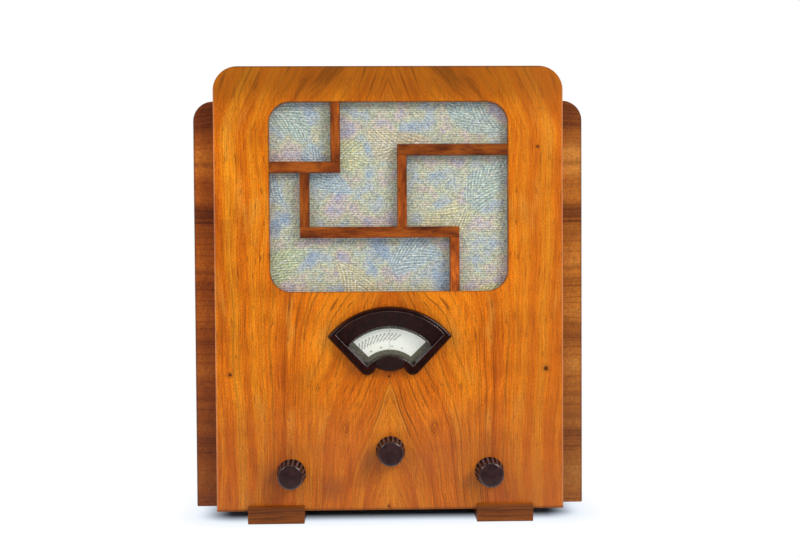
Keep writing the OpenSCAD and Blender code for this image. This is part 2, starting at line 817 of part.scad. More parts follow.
// The volume control: a moulded case behind the pan's wall, open inside for its wiper, with three lugs
module volume_control() {
    color("dimgray") inwards(-side_knob_x, bush_front, side_knob_z) difference() {
        union() {
            cylinder(r = bush_r, h = track_depth - bush_front + 1);
            translate([0, 0, track_depth - bush_front]) cylinder(r = track_r, h = track_l);
            for (a = [-28, 0, 28]) rotate([0, 0, 90 + a])
                translate([track_r - 2, -1.5, track_depth - bush_front + 4]) cube([9, 3, 0.8]);
        }
        translate([0, 0, -past]) cylinder(r = spindle_r + play, h = track_depth);
        translate([0, 0, track_depth - bush_front + 1.5]) cylinder(r = track_r - 1.5, h = track_l - 3);
    }
}

// The volume control's spindle, with the wiper disc that turns inside the case
module volume_spindle() {
    reach = track_depth + 5;
    color("silver") inwards(-side_knob_x, spindle_front, side_knob_z) {
        cylinder(r = spindle_r, h = reach - spindle_front);
        translate([0, 0, reach - spindle_front - 2]) cylinder(r = track_r - 3, h = 1.5);
    }
}

wafer_depth = track_depth + 22;
wafer_r = 16;
contact_r = 8;

// The wave switch: an index plate on the pan's wall and a wafer of contacts on two posts
module wave_switch() {
    color("burlywood") inwards(side_knob_x, bush_front, side_knob_z) {
        difference() {
            union() {
                cylinder(r = bush_r, h = track_depth - bush_front + 2);
                translate([0, 0, track_depth - bush_front]) cylinder(r = wafer_r, h = 2);
                translate([0, 0, wafer_depth - bush_front]) cylinder(r = wafer_r, h = 1.6);
                for (a = [0 : 30 : 330]) rotate([0, 0, a])
                    translate([wafer_r - 2, -1, wafer_depth - bush_front + 0.4]) cube([6, 2, 0.8]);
                for (s = [-1, 1]) translate([s * (wafer_r - 3.5), 0, track_depth - bush_front])
                    cylinder(r = 1.6, h = wafer_depth - track_depth + 1);
            }
            translate([0, 0, -past]) cylinder(r = spindle_r + play, h = track_depth - bush_front + 4);
            translate([0, 0, wafer_depth - bush_front - past]) cylinder(r = contact_r + play, h = 4);
        }
    }
}

// The wave switch's spindle with the contact disc that turns in the wafer
module wave_spindle() {
    color("silver") inwards(side_knob_x, spindle_front, side_knob_z) {
        cylinder(r = spindle_r, h = wafer_depth + 3 - spindle_front);
        translate([0, 0, wafer_depth - spindle_front]) cylinder(r = contact_r, h = 1.6);
        translate([0, 0, track_depth + 2.3 - spindle_front]) cylinder(r = spindle_r + 2, h = 2);
    }
}

bush_l = 18;
collar_gap = 0.3;

// The long bearing bush of the tuning spindle, clamped in the pan's wall
module tuning_bush() {
    color("goldenrod") inwards(0, bush_front, tuning_z) difference() {
        union() {
            cylinder(r = bush_r, h = bush_l);
            translate([0, 0, track_depth - bush_front]) cylinder(r = nut_r, h = 2.5, $fn = 6);
        }
        translate([0, 0, -past]) cylinder(r = spindle_r + play, h = bush_l + 2 * past);
    }
}

pinch_gap = 0.2;
pinch_t = 0.6;

// The tuning spindle: two washers pinch the scale disc's rim, a collar holds it in its bush
module tuning_spindle() {
    back = bush_front + bush_l + collar_gap;
    color("silver") {
        inwards(0, spindle_front, tuning_z) cylinder(r = spindle_r, h = back + 3 - spindle_front);
        inwards(0, back, tuning_z) cylinder(r = spindle_r + 2, h = 2);
        inwards(0, scale_depth - pinch_gap - pinch_t, tuning_z) cylinder(r = pinch_r, h = pinch_t);
        inwards(0, scale_depth + scale_t + pinch_gap, tuning_z) {
            cylinder(r = pinch_r, h = pinch_t);
            cylinder(r = spindle_r + 2, h = 2);
        }
    }
}

module spindle_nuts() {
    color("silver") for (p = [[-side_knob_x, side_knob_z], [0, tuning_z], [side_knob_x, side_knob_z]])
        inwards(p[0], pan_depth - nut_h, p[1]) difference() {
            cylinder(r = nut_r, h = nut_h, $fn = 6);
            translate([0, 0, -past]) cylinder(r = bush_r + slip, h = nut_h + 2 * past);
        }
}

// The folded steel pan: deck, four walls and two turned-in flanges bolted to the base board
module chassis_pan() {
    w = pan_w / 2;
    t = sheet_t;
    slot_half_w = 2 * socket_pitch - cut_out_margin;
    color("lightsteelblue") difference() {
        union() {
            difference() {
                block([-w, pan_depth, base_z], [w, pan_back, deck_z]);
                block([-w + t, pan_depth + t, base_z - past], [w - t, pan_back - t, deck_z - t]);
            }
            block([-w + t, pan_depth, base_z], [w - t, pan_depth + flange_l, base_z + t]);
            block([-w + t, pan_back - flange_l, base_z], [w - t, pan_back, base_z + t]);
        }
        for (p = bolt_spots) stand(p, base_z - past) cylinder(r = bolt_r + slip, h = t + 2 * past);
        for (p = [[-side_knob_x, side_knob_z], [0, tuning_z], [side_knob_x, side_knob_z]])
            inwards(p[0], pan_depth - past, p[1]) cylinder(r = bush_r + slip, h = t + 2 * past);
        for (p = valve_spots) stand(p, deck_z - t - past) cylinder(r = valve_base_r - 3, h = t + 2 * past);
        board(pan_back - t - past, t + 2 * past) rounded(aerial_x - slot_half_w, aerial_x + slot_half_w,
            aerial_z - strip_half_h + cut_out_margin, aerial_z + strip_half_h - cut_out_margin, 3);
        inwards(grommet_x, pan_back - t - past, aerial_z) cylinder(r = grommet_r + slip, h = t + 2 * past);
    }
}

// The four bolts that hold the pan to the base board, heads below and nuts inside the pan
module chassis_bolts() {
    color("gray") for (p = bolt_spots) stand(p, 0) {
        translate([0, 0, floor_gap - bolt_head_h]) cylinder(r = 2 * bolt_r, h = bolt_head_h);
        translate([0, 0, floor_gap - 1]) cylinder(r = bolt_r, h = base_t + sheet_t + 6);
        translate([0, 0, base_z + sheet_t]) cylinder(r = 2 * bolt_r, h = 3, $fn = 6);
    }
}

// The capacitor's folded frame: a floor, a front, a divider and a back plate, tied at the top
module capacitor_frame() {
    h = frame_half;
    color("gainsboro") difference() {
        union() {
            for (d = [frame_depth, divider_depth, frame_back]) board(d, sheet_t)
                rounded(-h, h, frame_base_z, dial_z + h, 4);
            block([-h, frame_depth, frame_base_z + 0.2],
                [h, frame_back + sheet_t, frame_base_z + 0.2 + sheet_t]);
            for (s = [-1, 1]) inwards(s * tie_rod, frame_depth, dial_z + tie_rod)
                cylinder(r = tie_rod_r, h = frame_back + sheet_t - frame_depth);
        }
        inwards(0, frame_depth - past, dial_z)
            cylinder(r = spindle_r + play, h = frame_back - frame_depth + 4);
        inwards(0, divider_depth - past, dial_z) cylinder(r = sleeve_r + clear, h = sheet_t + 2 * past);
        for (s = [-1, 1]) inwards(s * stator_rod, frame_depth - past, dial_z - stator_rod)
            cylinder(r = stator_bush_r + slip, h = frame_back - frame_depth + 4);
        for (x = [-1, 1], d = [frame_depth + frame_inset, frame_back - frame_inset])
            translate([x * (frame_half - frame_inset), face_y + d, frame_base_z - past])
                cylinder(r = bolt_r + slip, h = sheet_t + 2 * past);
    }
}

// Rubber-footed pillars that stand the capacitor on the deck, each with a screw up into its frame
module capacitor_pillars() {
    color("dimgray") for (x = [-1, 1], d = [frame_depth + frame_inset, frame_back - frame_inset])
        translate([x * (frame_half - frame_inset), face_y + d, deck_z]) {
            cylinder(r = 5, h = frame_base_z + 0.2 - deck_z);
            cylinder(r = bolt_r, h = frame_base_z + 0.2 - deck_z + sheet_t + 1);
        }
}

// Depth of the first turning vane's front in gang g
stack_l = (vanes - 1) * vane_pitch + vane_t;
function gang_front(g) = (g == 0 ? frame_depth : divider_depth) + sheet_t + (gang_l - stack_l) / 2;

// The fixed vanes, two stacks of them on rods, cut out round the shaft
module capacitor_stators() {
    color("lightgray") for (g = [0, 1]) {
        for (k = [0 : vanes - 2]) board(gang_front(g) + (k + 0.5) * vane_pitch, vane_t) difference() {
            translate([-stator_half, dial_z - stator_half]) square([2 * stator_half, stator_half - 2.5]);
            translate([0, dial_z]) circle(sleeve_r + 2 * clear);
        }
        for (s = [-1, 1]) inwards(s * stator_rod, gang_front(g) - 3, dial_z - stator_rod)
            cylinder(r = stator_rod_r, h = vanes * vane_pitch + 2);
    }
}

// Insulating bushes in the frame's plates that carry the stator rods
module stator_bushes() {
    d = [frame_depth, divider_depth, frame_back];
    color("saddlebrown") for (s = [-1, 1], k = [0 : 2]) inwards(s * stator_rod, d[k] - 1, dial_z - stator_rod)
        difference() {
            cylinder(r = stator_bush_r, h = sheet_t + 2);
            if (k > 0) translate([0, 0, -past]) cylinder(r = stator_rod_r, h = past + 0.9);
            if (k < 2) translate([0, 0, sheet_t + 1.1]) cylinder(r = stator_rod_r, h = past + 0.9);
        }
}

// The turning vanes on their shaft, drawn fully open
module capacitor_rotor() {
    color("gainsboro") {
        inwards(0, scale_depth - hub_plate_t, dial_z)
            cylinder(r = spindle_r, h = frame_back + sheet_t + 3 - scale_depth + hub_plate_t);
        for (g = [0, 1]) {
            inwards(0, gang_front(g) - 0.5, dial_z) cylinder(r = sleeve_r, h = stack_l + 1);
            for (k = [0 : vanes - 1]) board(gang_front(g) + k * vane_pitch, vane_t) translate([0, dial_z])
                intersection() {
                    circle(vane_r);
                    translate([-vane_r, 0]) square([2 * vane_r, vane_r]);
                }
        }
    }
}

window_w = (core_w - 2 * limb_w) / 2;
core_side = limb_w / 2;
transformer_z = deck_z + 4;

// The stack of laminations, with the two windows that the winding passes through
module mains_transformer_core() {
    x = transformer_spot[0];
    d = transformer_spot[1] - core_t / 2;
    color("dimgray") {
        board(d, core_t) difference() {
            translate([x - core_w / 2, transformer_z]) square([core_w, core_h]);
            for (s = [-1, 1])
                translate([x + s * (limb_w + window_w) / 2 - window_w / 2, transformer_z + core_side])
                square([window_w, core_h - 2 * core_side]);
        }
        for (s = [-1, 1]) translate([s * (core_w / 2 - 6), 0, 0])
            block([x - 6, d - 8, deck_z], [x + 6, d + core_t + 8, transformer_z]);
    }
}

// The winding, wound round the core's middle limb
module mains_transformer_coil() {
    x = transformer_spot[0];
    half = limb_w / 2 + window_w - 0.5;
    l = core_t / 2 + coil_overhang;
    z0 = transformer_z + core_side + 0.5;
    z1 = transformer_z + core_h - core_side - 0.5;
    color("darkkhaki") translate([x, face_y + transformer_spot[1], z0]) difference() {
        linear_extrude(height = z1 - z0) rounded(-half, half, -l, l, 5);
        translate([-limb_w / 2 - 0.3, -core_t / 2 - 0.3, -past])
            cube([limb_w + 0.6, core_t + 0.6, z1 - z0 + 2 * past]);
    }
}

out_x = -117;
out_z = grille_z0 + 6;

// The output transformer on the lower corner of the baffle board
module output_transformer() {
    color("dimgray") {
        block([out_x - 22, baffle_back, out_z - 11], [out_x + 22, baffle_back + 2, out_z + 11]);
        block([out_x - 18, baffle_back + 2, out_z - 9], [out_x + 18, baffle_back + 34, out_z + 9]);
        block([out_x - 10, baffle_back + 8, out_z - 15], [out_x + 10, baffle_back + 28, out_z + 15]);
    }
}

// A drawn can with a rounded top edge and a rolled bead at its foot
module can(r, h) {
    rotate_extrude() polygon(concat([[0, 0], [r + 1.2, 0], [r + 1.2, 2], [r, 3]],
        [for (a = [0 : 15 : 90]) [r - 3 * (1 - cos(a)), h - 3 * (1 - sin(a))]], [[0, h]]));
}

module smoothing_cans() {
    color("silver") for (p = smooth_can_spots) stand(p, deck_z) can(smooth_can_r, smooth_can_h);
}

module coil_cans() {
    color("gainsboro") for (p = coil_can_spots) stand(p, deck_z) can(coil_can_r, coil_can_h);
}

pin_r = 1.2;
pin_circle = 9;
pin_l = 8;

// The pins' places on a valve's foot, four on a circle
module at_pins() {
    for (p = valve_spots, a = [45 : 90 : 315])
        stand([p[0] + pin_circle * cos(a), p[1] + pin_circle * sin(a)], 0)
        children();
}

module valve_sockets() {
    color("saddlebrown") difference() {
        for (p = valve_spots) stand(p, deck_z) cylinder(r = valve_base_r + 2, h = socket_h);
        at_pins() translate([0, 0, deck_z - past]) cylinder(r = pin_r + slip, h = socket_h + 2 * past);
    }
}

module valve_bases() {
    color([0.15, 0.1, 0.08]) {
        for (p = valve_spots) stand(p, deck_z + socket_h) {
            cylinder(r1 = valve_base_r - 0.6, r2 = valve_base_r, h = valve_base_h - 2);
            translate([0, 0, valve_base_h - 2]) cylinder(r1 = valve_base_r, r2 = neck_r + 1, h = 2);
        }
        at_pins() translate([0, 0, deck_z + socket_h - pin_l]) cylinder(r = pin_r, h = pin_l);
    }
}

glass_z = deck_z + socket_h + valve_base_h;
dome_h = 13;
valve_cap_r = 3.5;
valve_cap_h = 8;

// Half outline of the bulb: a swelling belly that draws in again to a domed top, shrunk by s
function bulb(s) = concat([[0, s], [neck_r - s, s]],
    [for (k = [1 : 11]) let (h = bulb_h * k / 12) [neck_r + bulb_swell * pow(sin(180 * k / 12), 1.4) - s, h]],
    [for (a = [0 : 15 : 75]) [(neck_r - s) * cos(a), bulb_h + (dome_h - s) * sin(a)]],
    [[0, bulb_h + dome_h - s]]);

module valve_bulbs() {
    color([0.8, 0.85, 0.85, 0.4]) for (p = valve_spots) stand(p, glass_z) difference() {
        rotate_extrude() polygon(bulb(0));
        rotate_extrude() polygon(bulb(glass_t));
    }
}

stem_h = 14;
anode_z = 26;
anode_h = 32;
anode_r = 4.2;
support_r = 0.6;
mica_r = 11.5;
mica_t = 0.8;

// What shows through the glass: stem, support wires, two mica plates and the ribbed anode
module valve_electrodes() {
    rod_h = anode_z + anode_h + mica_t;
    color("gray") for (p = valve_spots) stand(p, glass_z + glass_t) {
        cylinder(r1 = 2 * anode_r, r2 = anode_r, h = stem_h);
        for (s = [-1, 1]) translate([s * 1.8 * anode_r, 0, 0]) cylinder(r = support_r, h = rod_h + mica_t);
        translate([0, 0, anode_z]) bar(2.2 * anode_r, anode_h, 1.5 * anode_r);
        for (z = [anode_z - 3 * mica_t, rod_h]) translate([0, 0, z]) cylinder(r = mica_r, h = mica_t);
        translate([0, 0, stem_h - anode_r]) cylinder(r = 2 * support_r, h = rod_h - stem_h);
    }
}

module valve_caps() {
    color("silver") for (k = capped_valves) stand(valve_spots[k], glass_z + bulb_h + dome_h)
        cylinder(r = valve_cap_r, h = valve_cap_h);
}

// The board of small parts under the deck: two pillars, tags, resistors and paper capacitors
module tag_board() {
    z = deck_z - sheet_t;
    d = (pan_depth + pan_back) / 2 - 4;
    drop = 14;
    board_t = 2;
    half_w = 60;
    half_d = 22;
    part_r = 3;
    tag = 1.5;
    color("peru") {
        for (s = [-1, 1]) translate([s * (half_w - 10), face_y + d, z - drop]) cylinder(r = part_r, h = drop);
        block([-half_w, d - half_d, z - drop - board_t], [half_w, d + half_d, z - drop]);
        for (k = [-4 : 4]) {
            x = k * 4 * part_r;
            inwards(x, d - 14, z - drop - board_t - part_r + 0.5) cylinder(r = part_r, h = 28);
            for (s = [-1, 1]) block([x - tag, d + s * (half_d - 2 * tag) - tag, z - drop - board_t - 4],
                [x + tag, d + s * (half_d - 2 * tag) + tag, z - drop - board_t]);
        }
    }
}

// The insulating strip on the pan's back wall, with four sockets: aerial, earth and a pair for a pick-up
module socket_strip() {
    w = 2 * socket_pitch;
    color([0.15, 0.1, 0.08]) board(pan_back, strip_t) difference() {
        rounded(aerial_x - w, aerial_x + w, aerial_z - strip_half_h, aerial_z + strip_half_h, 2);
        for (k = [-1.5 : 1.5]) translate([aerial_x + k * socket_pitch, aerial_z])
            circle(socket_r + tube_wall + slip);
    }
}

// Blind brass tubes riveted into the strip, each with a collar behind it
module socket_tubes() {
    tube_l = tube_in + strip_t + 2;
    color("goldenrod") for (k = [-1.5 : 1.5])
        inwards(aerial_x + k * socket_pitch, pan_back - tube_in, aerial_z) difference() {
            union() {
                cylinder(r = socket_r + tube_wall, h = tube_l);
                translate([0, 0, tube_in + strip_t]) cylinder(r = socket_r + 2 * tube_wall, h = 2);
            }
            translate([0, 0, tube_floor]) cylinder(r = socket_r, h = tube_l);
        }
}

// The rubber bush where the mains cable leaves the pan
module mains_grommet() {
    color([0.12, 0.12, 0.12]) inwards(grommet_x, pan_back - sheet_t - 2, aerial_z) difference() {
        union() {
            cylinder(r = grommet_r + 2, h = 2);
            cylinder(r = grommet_r, h = 6);
            translate([0, 0, 2 + sheet_t]) cylinder(r = grommet_r + 2, h = 2.5);
        }
        translate([0, 0, -past]) cylinder(r = grommet_r - 1.8, h = 10);
    }
}

// The pressed steel basket: flange, six windowed flanks and the ring that the magnet pot is fixed to
module speaker_basket() {
    t = basket_t;
    color("dimgray") inwards(0, flange_depth, speaker_z) difference() {
        rotate_extrude() polygon([[cone_r - 4, 0], [speaker_r, 0], [speaker_r, t], [cone_r, t],
            [basket_low_r + 2, basket_l - t], [basket_low_r + 2, basket_l], [gap_r + 3, basket_l],
            [gap_r + 3, basket_l - t], [basket_low_r, basket_l - t]]);
        for (a = [0 : 60 : 300]) rotate([0, 0, a]) translate([basket_low_r + 6, -12, 6])
            cube([cone_r, 24, basket_l - 16]);
        for (a = [45 : 90 : 315]) rotate([0, 0, a]) translate([speaker_bolt_pcr, 0, -past])
            cylinder(r = bolt_r + slip, h = t + 2 * past);
    }
}

// The paper cone with its rim, dust cap, and voice coil in the magnet's gap
module speaker_cone() {
    p = 0.8;
    coil_top = basket_l - 8;
    color("darkslategray") inwards(0, baffle_back, speaker_z) difference() {
        rotate_extrude() polygon([[0, coil_top - 6], [coil_r - 4, coil_top - 5], [coil_r, coil_top - 1],
            [cone_r - 8, 1], [cone_r - 5, 0], [cone_r + 3, 0],
            [cone_r + 3, p], [cone_r - 5, p], [cone_r - 8, 1 + p],
            [coil_r + 1, coil_top + p], [coil_r + 1, basket_l + 6],
            [coil_r, basket_l + 6], [coil_r, coil_top + p],
            [coil_r - 4, coil_top - 5 + p], [0, coil_top - 6 + p]]);
        for (a = [45 : 90 : 315]) rotate([0, 0, a]) translate([speaker_bolt_pcr, 0, -past])
            cylinder(r = bolt_r + 1, h = 3);
    }
}

// The magnet pot with its front plate, centre pole and field winding's bulge
module speaker_magnet() {
    color([0.25, 0.25, 0.27]) inwards(0, pot_depth, speaker_z)
        rotate_extrude() polygon([[0, -2], [pole_r, -2], [pole_r, pot_l - 8], [gap_r, pot_l - 8], [gap_r, 0],
            [pot_r, 0], [pot_r, 6], [pot_r - 2, 7],
            [pot_r - 2, pot_l - 7], [pot_r, pot_l - 6], [pot_r, pot_l],
            [0, pot_l]]);
}

// The bolts through the baffle board, countersunk at the front, with nuts behind the basket's flange
module speaker_bolts() {
    stack = baffle_t + rim_t + basket_t;
    color("gray") for (a = [45 : 90 : 315])
        inwards(speaker_bolt_pcr * cos(a), baffle_depth, speaker_z + speaker_bolt_pcr * sin(a)) {
            cylinder(r = bolt_r, h = stack + 5);
            translate([0, 0, stack]) cylinder(r = 2 * bolt_r, h = 3, $fn = 6);
        }
}

front_panel();
grille_fret();
cabinet_shell();
left_wing();
right_wing();
base_board();
left_foot();
right_foot();
corner_blocks();
back_battens();
baffle_board();
grille_cloth();
wood_screws();
back_cover();
escutcheon();
dial_window();
dial_mask();
index_wire();
scale_disc();
scale_hub();
lamp_bracket();
dial_lamps();
volume_knob();
tuning_knob();
wave_knob();
volume_grub_screw();
tuning_grub_screw();
wave_grub_screw();
volume_control();
volume_spindle();
wave_switch();
wave_spindle();
tuning_bush();
tuning_spindle();
spindle_nuts();
chassis_pan();
chassis_bolts();
capacitor_frame();
capacitor_stators();
stator_bushes();
capacitor_rotor();
capacitor_pillars();
mains_transformer_core();
mains_transformer_coil();
output_transformer();
smoothing_cans();
coil_cans();
valve_sockets();
valve_bases();
valve_bulbs();
valve_electrodes();
valve_caps();
tag_board();
socket_strip();
socket_tubes();
mains_grommet();
speaker_basket();
speaker_cone();
speaker_magnet();
speaker_bolts();
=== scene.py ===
import math

import bpy
from mathutils import Matrix, Vector


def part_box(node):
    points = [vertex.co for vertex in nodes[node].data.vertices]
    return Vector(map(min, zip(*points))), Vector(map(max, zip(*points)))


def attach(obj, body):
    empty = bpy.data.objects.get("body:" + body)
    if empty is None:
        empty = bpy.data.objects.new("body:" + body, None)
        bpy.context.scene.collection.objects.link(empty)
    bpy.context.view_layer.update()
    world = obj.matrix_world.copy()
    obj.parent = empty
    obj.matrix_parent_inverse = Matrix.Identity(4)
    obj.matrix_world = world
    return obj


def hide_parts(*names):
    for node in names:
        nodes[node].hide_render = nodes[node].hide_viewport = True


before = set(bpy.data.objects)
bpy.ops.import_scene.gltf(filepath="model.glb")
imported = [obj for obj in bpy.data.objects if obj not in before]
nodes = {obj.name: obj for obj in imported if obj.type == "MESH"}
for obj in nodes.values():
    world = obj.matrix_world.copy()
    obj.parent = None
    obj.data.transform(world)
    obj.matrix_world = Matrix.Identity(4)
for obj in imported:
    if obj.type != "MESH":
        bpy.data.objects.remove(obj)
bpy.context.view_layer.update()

# The photographer's camera.
# It stands 1.2 m in front of the panel at 29 cm, a little left of the middle and looking slightly
# down and to the right, as the converging edges of the cabinet show.
PANEL_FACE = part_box("front_panel")[0].y
CAMERA_PLACE = Vector((-0.0227, PANEL_FACE - 1.2135, 0.2902))
CAMERA_YAW = 0.0277
CAMERA_PITCH = 0.0307
CAMERA_ROLL = -0.0059
FOCAL_PIXELS = 1175.2
PICTURE_WIDTH = 800


def placed(name, data):
    """A new object in the scene."""
    thing = bpy.data.objects.new(name, data)
    bpy.context.scene.collection.objects.link(thing)
    return thing


forward = Vector((math.sin(CAMERA_YAW) * math.cos(CAMERA_PITCH),
                  math.cos(CAMERA_YAW) * math.cos(CAMERA_PITCH), -math.sin(CAMERA_PITCH)))
level_right = Vector((math.cos(CAMERA_YAW), -math.sin(CAMERA_YAW), 0))
level_up = level_right.cross(forward)
right = level_right * math.cos(CAMERA_ROLL) + level_up * math.sin(CAMERA_ROLL)
up = level_up * math.cos(CAMERA_ROLL) - level_right * math.sin(CAMERA_ROLL)

lens = bpy.data.cameras.new("camera")
lens.sensor_fit = "HORIZONTAL"
lens.sensor_width = 36
lens.lens = FOCAL_PIXELS / PICTURE_WIDTH * lens.sensor_width
lens.clip_start = 0.01
camera = placed("camera", lens)
camera.matrix_world = Matrix.Translation(CAMERA_PLACE) @ Matrix((right, up, -forward)).transposed().to_4x4()
bpy.context.scene.camera = camera
bpy.context.scene.view_settings.view_transform = "Standard"

# The studio.
# A white sweep of paper under and behind the set, two large softboxes in front, the right one the
# stronger, and a weak one behind so that the back cover can be read. The room behind the camera is dark.
PAPER_SIZE = 14.0
PAPER_WHITE = (0.74, 0.82, 0.94, 1)
# Painted shadow: the paper's own colour turns dark navy under the cabinet, and the glow round it is tinted
# pale blue.
PAPER_PAINTED_SHADOW = (0.20, 0.28, 0.46, 1)
PAPER_PAINTED_SHADOW_TINT = (0.80, 0.89, 1.0, 1)
FOOTPRINT = (0.165, 0.068, 0)
SHADOW_REACH = (0.003, 0.046)
TABLE_EDGE = (-0.32, -0.15)
AMBIENT = 0.42
DARK_ROOM = 0.16
ROOM_EDGE = (-0.5, 0.4)


def paint(red, green, blue):
    """A colour written as a painter picks it on a screen, 0 to 255, as the linear colour of a shader."""
    def linear(value):
        value = value / 255
        return value / 12.92 if value <= 0.04045 else ((value + 0.055) / 1.055) ** 2.4
    return linear(red), linear(green), linear(blue), 1.0


def wire(tree, kind, inputs=None, output=0, **settings):
    """Adds a shader node, sets what it is told, fills its inputs, and returns one of its outputs."""
    node = tree.nodes.new("ShaderNode" + kind)
    for name, value in settings.items():
        setattr(node, name, value)
    for name, value in (inputs or {}).items():
        if isinstance(value, bpy.types.NodeSocket):
            tree.links.new(value, node.inputs[name])
        else:
            node.inputs[name].default_value = value
    return node.outputs[output]


def own_place(tree):
    """A piece's own coordinates, which go with it wherever it turns."""
    return wire(tree, "TexCoord", {}, "Object")


def maths(tree, operation, first, second=0.0, third=0.0):
    """One sum of a shader."""
    return wire(tree, "Math", {0: first, 1: second, 2: third}, operation=operation)


def vectors(tree, operation, first, second=(0, 0, 0), output="Vector"):
    """One sum of places."""
    return wire(tree, "VectorMath", {0: first, 1: second}, output, operation=operation)


def product(tree, *factors):
    """Values multiplied together."""
    result = factors[0]
    for factor in factors[1:]:
        result = maths(tree, "MULTIPLY", result, factor)
    return result


def between(tree, value, low, high, start=0.0, end=1.0):
    """A soft step: start below low, end above high."""
    limits = {"Value": value, "From Min": low, "From Max": high, "To Min": start, "To Max": end}
    return wire(tree, "MapRange", limits, interpolation_type="SMOOTHSTEP")


def blended(tree, share, first, second, way="MIX"):
    """Two colours laid over each other."""
    return wire(tree, "Mix", {0: share, 6: first, 7: second}, 2, data_type="RGBA", blend_type=way)


def kind_of_ray(tree, *kinds):
    """1 on any of these kinds of ray, such as the camera's own or a reflection's, and 0 on the rest."""
    path = wire(tree, "LightPath").node
    either = path.outputs[kinds[0]]
    for kind in kinds[1:]:
        either = maths(tree, "MAXIMUM", either, path.outputs[kind])
    return either


def finish(name, sockets):
    """A new material, with the shader's own sockets filled in, and the tree to wire the rest into."""
    made = bpy.data.materials.new(name)
    made.use_nodes = True
    shader = made.node_tree.nodes["Principled BSDF"]
    for socket, value in sockets.items():
        shader.inputs[socket].default_value = value
    return made, made.node_tree, shader


def coloured(shader, colour):
    """Gives a finish its colour."""
    shader.id_data.links.new(colour, shader.inputs["Base Color"])


world = bpy.data.worlds.new("studio")
world.use_nodes = True
bpy.context.scene.world = world
sky = world.node_tree
seen = kind_of_ray(sky, "Is Camera Ray", "Is Transmission Ray")
level = wire(sky, "MapRange", {"Value": seen, "To Min": AMBIENT, "To Max": 1.0})
heading = wire(sky, "SeparateXYZ", {"Vector": wire(sky, "TexCoord", {}, "Generated")}, "Y")
mirrored = between(sky, heading, *ROOM_EDGE, DARK_ROOM, 1.0)
level = wire(sky, "Mix", {0: kind_of_ray(sky, "Is Glossy Ray"), 2: level, 3: mirrored}, data_type="FLOAT")
sky.links.new(level, sky.nodes["Background"].inputs["Strength"])
sky.nodes["Background"].inputs["Color"].default_value = (1, 1, 1, 1)

bpy.ops.mesh.primitive_plane_add(size=PAPER_SIZE, location=(0, 0, 0))
floor = bpy.context.object
floor.name = "paper"
paper, tree, shader = finish("paper", {"Roughness": 0.9, "Specular IOR Level": 0.1})
past = vectors(tree, "ABSOLUTE", own_place(tree))
past = vectors(tree, "SUBTRACT", past, FOOTPRINT)
past = vectors(tree, "MAXIMUM", past)
reach = vectors(tree, "LENGTH", past, output="Value")
fade = between(tree, reach, *SHADOW_REACH)
# Painted shadow: the paper's colour darkens towards the middle of the footprint.
coloured(shader, blended(tree, fade, PAPER_PAINTED_SHADOW, PAPER_WHITE))
# Painted shadow tint: the glow seen round the cabinet is pale blue near it.
pale = wire(tree, "MapRange", {"Value": reach, "From Min": SHADOW_REACH[1] / 2,
                               "From Max": 1.4 * SHADOW_REACH[1]})
glow = wire(tree, "Emission", {"Color": blended(tree, pale, PAPER_PAINTED_SHADOW_TINT, (1, 1, 1, 1)), "Strength": 1.0})
seen = kind_of_ray(tree, "Is Camera Ray", "Is Glossy Ray", "Is Transmission Ray")
mixed = wire(tree, "MixShader", {0: product(tree, fade, seen), 1: shader.outputs[0], 2: glow})
ahead = wire(tree, "SeparateXYZ", {"Vector": own_place(tree)}, "Y")
ahead = wire(tree, "MapRange", {"Value": ahead, "From Min": TABLE_EDGE[0], "From Max": TABLE_EDGE[1],
                                "To Min": 1, "To Max": 0})
unlit = wire(tree, "Emission", {"Color": (1, 1, 1, 1), "Strength": DARK_ROOM})
share = product(tree, ahead, kind_of_ray(tree, "Is Glossy Ray"))
mixed = wire(tree, "MixShader", {0: share, 1: mixed, 2: unlit})
tree.links.new(mixed, tree.nodes["Material Output"].inputs["Surface"])
floor.data.materials.append(paper)


def softbox(name, place, target, size, power):
    """A square softbox that looks at a point."""
    lamp = bpy.data.lights.new(name, "AREA")
    lamp.size = size
    lamp.energy = power
    holder = placed(name, lamp)
    holder.location = place
    holder.rotation_euler = (Vector(target) - Vector(place)).to_track_quat("-Z", "Y").to_euler()


softbox("key", (1.15, -1.25, 1.25), (0, 0, 0.2), 0.7, 17)
softbox("fill", (-1.25, -1.35, 1.05), (0, 0, 0.2), 0.7, 7)
softbox("overhead", (0.1, 0.1, 1.9), (0, 0, 0), 1.4, 9)
softbox("rear", (0.7, 1.7, 1.1), (0, 0, 0.2), 1.1, 10)


# The front panel.
# Ten-millimetre birch ply, faced with two mirrored leaves of walnut that meet on the middle line.
# It is stained and French polished, and the knobs' shadows are painted onto it round them.
SEAM_FLAME_SLOPE = 0.35
SEAM_FLAME_WIDTH = 0.07
SEAM_FLAME_Z = 0.08
FLAME_TOP_Z = 0.403
FLAME_FADE = (0.30, 0.40)
FLAME_FALL = 0.268
LEAN_START, LEAN_END, LEAN = (0.0, 0.05), (0.26, 0.09), 0.36
PAINTED_FLOOR_REFLECTION_ZONE = (0.15, 0.05)
TOP_STRIP = (0.415, 0.455)
RIGHT_STRIP = (0.115, 0.145)
PAINTED_KNOB_SHADOWS = (((-0.124, 0, 0.046), 0.024), ((-0.020, 0, 0.066), 0.020), ((-0.060, 0, 0.034), 0.020),
           ((0.082, 0, 0.040), 0.016))
PIN_KNOTS = (((-0.165, 0, 0.154), 0.0016), ((0.1622, 0, 0.158), 0.0021), ((-0.001, 0, 0.151), 0.0011),
             ((-0.002, 0, 0.016), 0.0010), ((0.154, 0, 0.388), 0.0012))
EDDY_PLACE = (0.046, 0, 0.097)
EDDY_PITCH = 0.0026
FRET_HALF_WIDTH = 0.1233
FRET_HALF_HEIGHT = 0.0978
FRET_MIDDLE_Z = 0.3368
FRET_CORNER = 0.022
FRET_RIM = 0.0012
